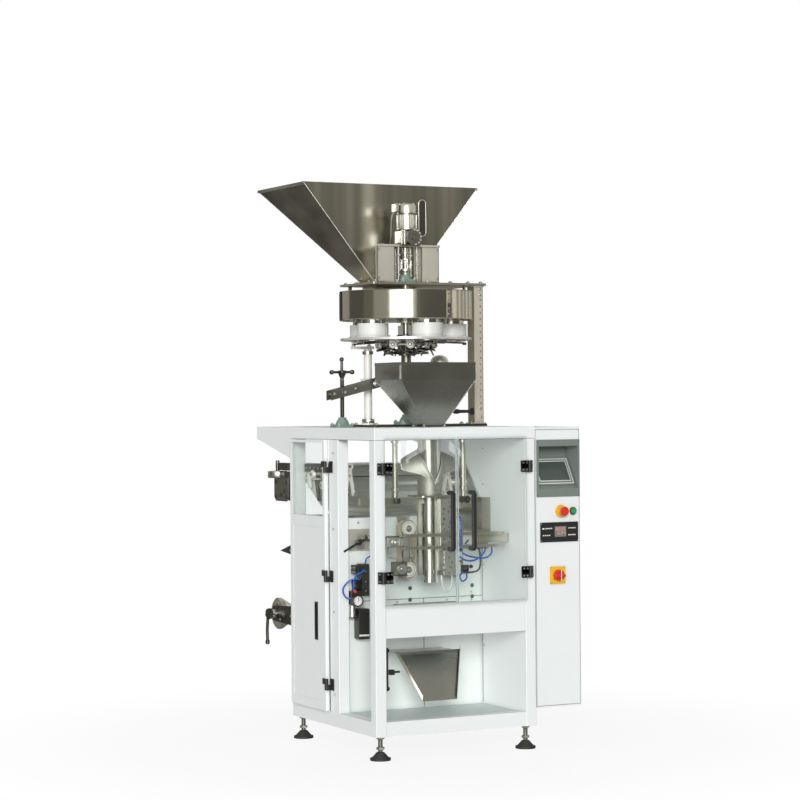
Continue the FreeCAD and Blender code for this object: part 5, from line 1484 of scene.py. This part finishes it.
class FillerStage(PropertyGroup):
    """Camera and light."""
    camera_place: FloatVectorProperty(
        name="Camera place", description="Camera position in the row frame", subtype="TRANSLATION",
        unit="LENGTH", default=(-4.8802, -9.4325, 1.5032))
    camera_turn: FloatVectorProperty(
        name="Camera turn", description="Camera rotation", subtype="EULER", unit="ROTATION",
        default=tuple(math.radians(a) for a in (90.0866, 0.4348, -27.0816)))
    lens: FloatProperty(name="Lens", description="Focal length on a 36 mm sensor", default=105.97, min=10.0)
    sun: FloatProperty(name="Sun", description="Strength of the front light", default=2.2, min=0.0)
    sky: FloatProperty(name="Sky", description="Strength of the even light", default=0.32, min=0.0)
    room: FloatProperty(
        name="Room", description="Strength of the room that metal mirrors", default=1.0, min=0.0)


def stage_material(name, colour):
    """The node tree and the dull shader of a stage piece."""
    mat = bpy.data.materials.new(name)
    mat.use_nodes = True
    shader = mat.node_tree.nodes["Principled BSDF"]
    shader.inputs["Base Color"].default_value = (*colour, 1.0)
    shader.inputs["Specular IOR Level"].default_value = 0.0
    return mat, shader


def stage_piece(name, pts, mat):
    """A flat stage piece that only lights or backs the object."""
    mesh = bpy.data.meshes.new(name)
    mesh.from_pydata(pts, [], [list(range(len(pts)))])
    mesh.materials.append(mat)
    obj = add_object(name, mesh)
    obj.visible_diffuse = False
    obj.visible_shadow = False
    return obj


def card(name, azimuth, elevation, wide, high, colour, strength=1.0, far=4.0):
    """A card far from the machine that only its metal mirrors; directions in degrees, sizes in metres."""
    a, e = math.radians(azimuth), math.radians(elevation)
    w = Vector((math.cos(a) * math.cos(e), math.sin(a) * math.cos(e), math.sin(e)))
    c = Vector((0, 0, CARD_HEIGHT)) + w * far
    side = Vector((-math.sin(a), math.cos(a), 0)) * (wide / 2)
    up = w.cross(Vector((-math.sin(a), math.cos(a), 0))) * (high / 2)
    mat, shader = stage_material(name, (0.0, 0.0, 0.0))
    shader.inputs["Emission Color"].default_value = (*colour, 1.0)
    shader.inputs["Emission Strength"].default_value = strength
    obj = stage_piece(name, [c - side - up, c + side - up, c + side + up, c - side + up], mat)
    obj.visible_camera = False
    obj.visible_transmission = False


def seen_ray(tree):
    """1 on rays from the camera, straight or through clear sheet."""
    path = new_node(tree, "LightPath")
    seen = new_node(tree, "Math", "MAXIMUM")
    tree.links.new(path.outputs["Is Camera Ray"], seen.inputs[0])
    tree.links.new(path.outputs["Is Transmission Ray"], seen.inputs[1])
    return seen.outputs[0]


def make_floor():
    """A plain pale round floor, white further out, with a faint shadow of the machine."""
    rim, sides = 3.4, 72
    mat, shader = stage_material("Floor", (0.9, 0.9, 0.9))
    shader.inputs["Roughness"].default_value = 1.0
    tree = mat.node_tree
    white = new_node(tree, "Emission")
    coord = new_node(tree, "TexCoord")
    length = new_node(tree, "VectorMath", "LENGTH")
    far = new_node(tree, "MapRange", From_Min=0.7, From_Max=2.4, To_Min=0.86, To_Max=1.0)
    far.interpolation_type = "SMOOTHSTEP"
    share = new_node(tree, "Math", "MULTIPLY")
    mix = mix_shaders(tree, shader.outputs["BSDF"], white.outputs["Emission"])
    tree.links.new(coord.outputs["Object"], length.inputs[0])
    tree.links.new(length.outputs["Value"], far.inputs["Value"])
    tree.links.new(far.outputs["Result"], share.inputs[0])
    tree.links.new(seen_ray(tree), share.inputs[1])
    tree.links.new(share.outputs[0], mix.inputs["Fac"])
    end_in(tree, mix)
    obj = stage_piece("Floor", [polar((0, 0), rim, 360 * k / sides, 0) for k in range(sides)], mat)
    obj.visible_glossy = False


def make_world(stage):
    """Even light, a dim warm room where metal mirrors it, pure white behind the machine."""
    world = bpy.data.worlds.new("World")
    bpy.context.scene.world = world
    world.use_nodes = True
    tree = world.node_tree
    tree.nodes.clear()
    out = new_node(tree, "OutputWorld")
    path = new_node(tree, "LightPath")
    even = new_node(tree, "Background", Color=(1.0, 1.0, 1.0, 1.0), Strength=stage.sky)
    mirror = new_node(tree, "Background", Strength=stage.room)
    white = new_node(tree, "Background", Color=(1.0, 1.0, 1.0, 1.0))
    coord = new_node(tree, "TexCoord")
    split = new_node(tree, "SeparateXYZ")
    rise = new_node(tree, "MapRange", From_Min=-0.15, From_Max=0.25)
    link = tree.links.new
    link(coord.outputs["Generated"], split.inputs["Vector"])
    link(split.outputs["Z"], rise.inputs["Value"])
    link(mix_colour(tree, rise.outputs["Result"], ROOM_LOW, ROOM_HIGH), mirror.inputs["Color"])
    first = mix_shaders(tree, even.outputs["Background"], mirror.outputs["Background"])
    link(path.outputs["Is Glossy Ray"], first.inputs["Fac"])
    second = mix_shaders(tree, first.outputs["Shader"], white.outputs["Background"])
    link(seen_ray(tree), second.inputs["Fac"])
    link(second.outputs["Shader"], out.inputs["Surface"])


def sun(name, energy, elevation, azimuth, spread, shadow=False, glint=False):
    """A distant light from a direction in degrees, 0 in front and minus to the left."""
    obj = add_object(name, bpy.data.lights.new(name, "SUN"))
    obj.data.energy = energy
    obj.data.angle = math.radians(spread)
    obj.data.use_shadow = shadow
    obj.visible_glossy = glint
    obj.rotation_euler = (math.radians(90 - elevation), 0.0, math.radians(azimuth))


def make_stage(stage):
    """Camera, lights, floor and reflection cards."""
    scene = bpy.context.scene
    cam = add_object("Camera", bpy.data.cameras.new("Camera"))
    cam.location = stage.camera_place
    cam.rotation_euler = stage.camera_turn
    cam.data.lens = stage.lens
    cam.data.sensor_width = 36.0
    cam.data.clip_end = 100.0
    scene.camera = cam
    sun("Front light", stage.sun, 14, -26, 20, shadow=True, glint=True)
    sun("Fill light", stage.sun * 0.55, 8, -62, 40)
    sun("Back light", stage.sun * 0.55, 10, 158, 30, shadow=True)
    make_world(stage)
    make_floor()
    card("Soft box", -125, 0, 2.7, 4.4, (1.0, 0.98, 0.93), 1.9)
    card("Pale left", -181, 4, 1.4, 2.4, (0.15, 0.145, 0.12))
    card("Dark back", 151, 2, 2.7, 3.0, (0.095, 0.092, 0.08))
    card("Dark rear", 92, 4, 1.6, 2.4, (0.02, 0.02, 0.018))
    card("Dark right", -67, -1, 5.7, 1.1, (0.095, 0.092, 0.078), far=4.4)
    for azimuth, wide in ((-29, 0.7), (-15, 0.3), (-3, 0.2), (10, 0.36), (27, 0.3)):
        card("Strip %d" % azimuth, azimuth, 4, wide, 2.4, (0.80, 0.77, 0.68))
    scene.view_settings.view_transform = "Standard"


class FILLER_OT_finishes(Operator):
    """Build the materials and give them to the frame nodes"""
    bl_idname = "filler.finishes"
    bl_label = "Finishes"

    def execute(self, context):
        make_finishes(context.scene.filler_look)
        dress_nodes()
        return {"FINISHED"}


class FILLER_OT_frame(Operator):
    """Add seams, screws, foot threads, the guard rod and the rear film carriage's fittings"""
    bl_idname = "filler.frame"
    bl_label = "Frame details"

    def execute(self, context):
        frame_details(context.scene.filler_fasteners)
        foot_details()
        lower_details()
        carriage_details()
        roll_shaft_details()
        return {"FINISHED"}


class FILLER_OT_doors(Operator):
    """Add pull bars, hinge leaves, screws and edges to the front doors"""
    bl_idname = "filler.doors"
    bl_label = "Door details"

    def execute(self, context):
        door_fittings(context.scene.filler_fasteners)
        return {"FINISHED"}


class FILLER_OT_cabinet(Operator):
    """Add the screen, marks and screws of the control cabinet"""
    bl_idname = "filler.cabinet"
    bl_label = "Cabinet details"

    def execute(self, context):
        screen_details()
        panel_details()
        return {"FINISHED"}


class FILLER_OT_film_path(Operator):
    """Add the fittings of the film path and the air unit"""
    bl_idname = "filler.film_path"
    bl_label = "Film path details"

    def execute(self, context):
        puller_details()
        valve_details()
        sealer_details()
        wall_details()
        former_details()
        collar_piece()
        unwind_details()
        air_details()
        return {"FINISHED"}


class FILLER_OT_head(Operator):
    """Add the bolts, clamps and springs of the cup filler"""
    bl_idname = "filler.head"
    bl_label = "Filler details"

    def execute(self, context):
        filler_details(context.scene.filler_fasteners)
        adjuster_details()
        return {"FINISHED"}


class FILLER_OT_stage(Operator):
    """Set up the camera, the lights, the floor and the reflection cards"""
    bl_idname = "filler.stage"
    bl_label = "Stage"

    def execute(self, context):
        make_stage(context.scene.filler_stage)
        return {"FINISHED"}


class FILLER_PT_panel(Panel):
    """Settings and steps of the cup filler"""
    bl_idname = "FILLER_PT_panel"
    bl_label = "Cup Filler"
    bl_space_type = "VIEW_3D"
    bl_region_type = "UI"
    bl_category = "Filler"

    def draw(self, context):
        scene = context.scene
        for settings in (scene.filler_look, scene.filler_fasteners, scene.filler_stage):
            column = self.layout.column()
            for name in settings.__annotations__:
                column.prop(settings, name)
        for step in STEPS:
            self.layout.operator(step.bl_idname)


STEPS = (FILLER_OT_finishes, FILLER_OT_frame, FILLER_OT_doors, FILLER_OT_cabinet, FILLER_OT_film_path,
         FILLER_OT_head, FILLER_OT_stage)
SETTINGS = (("filler_look", FillerLook), ("filler_fasteners", FillerFasteners), ("filler_stage", FillerStage))


def register():
    """Register the settings, the steps and the panel."""
    for name, kind in SETTINGS:
        bpy.utils.register_class(kind)
        setattr(bpy.types.Scene, name, PointerProperty(type=kind))
    for step in STEPS + (FILLER_PT_panel,):
        bpy.utils.register_class(step)


def unregister():
    """Undo register."""
    for step in STEPS + (FILLER_PT_panel,):
        bpy.utils.unregister_class(step)
    for name, kind in SETTINGS:
        delattr(bpy.types.Scene, name)
        bpy.utils.unregister_class(kind)


def main():
    """Run every step."""
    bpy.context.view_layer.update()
    register()
    bpy.ops.filler.finishes()
    bpy.ops.filler.frame()
    bpy.ops.filler.doors()
    bpy.ops.filler.cabinet()
    bpy.ops.filler.film_path()
    bpy.ops.filler.head()
    bpy.ops.filler.stage()


if __name__ == "__main__":
    main()
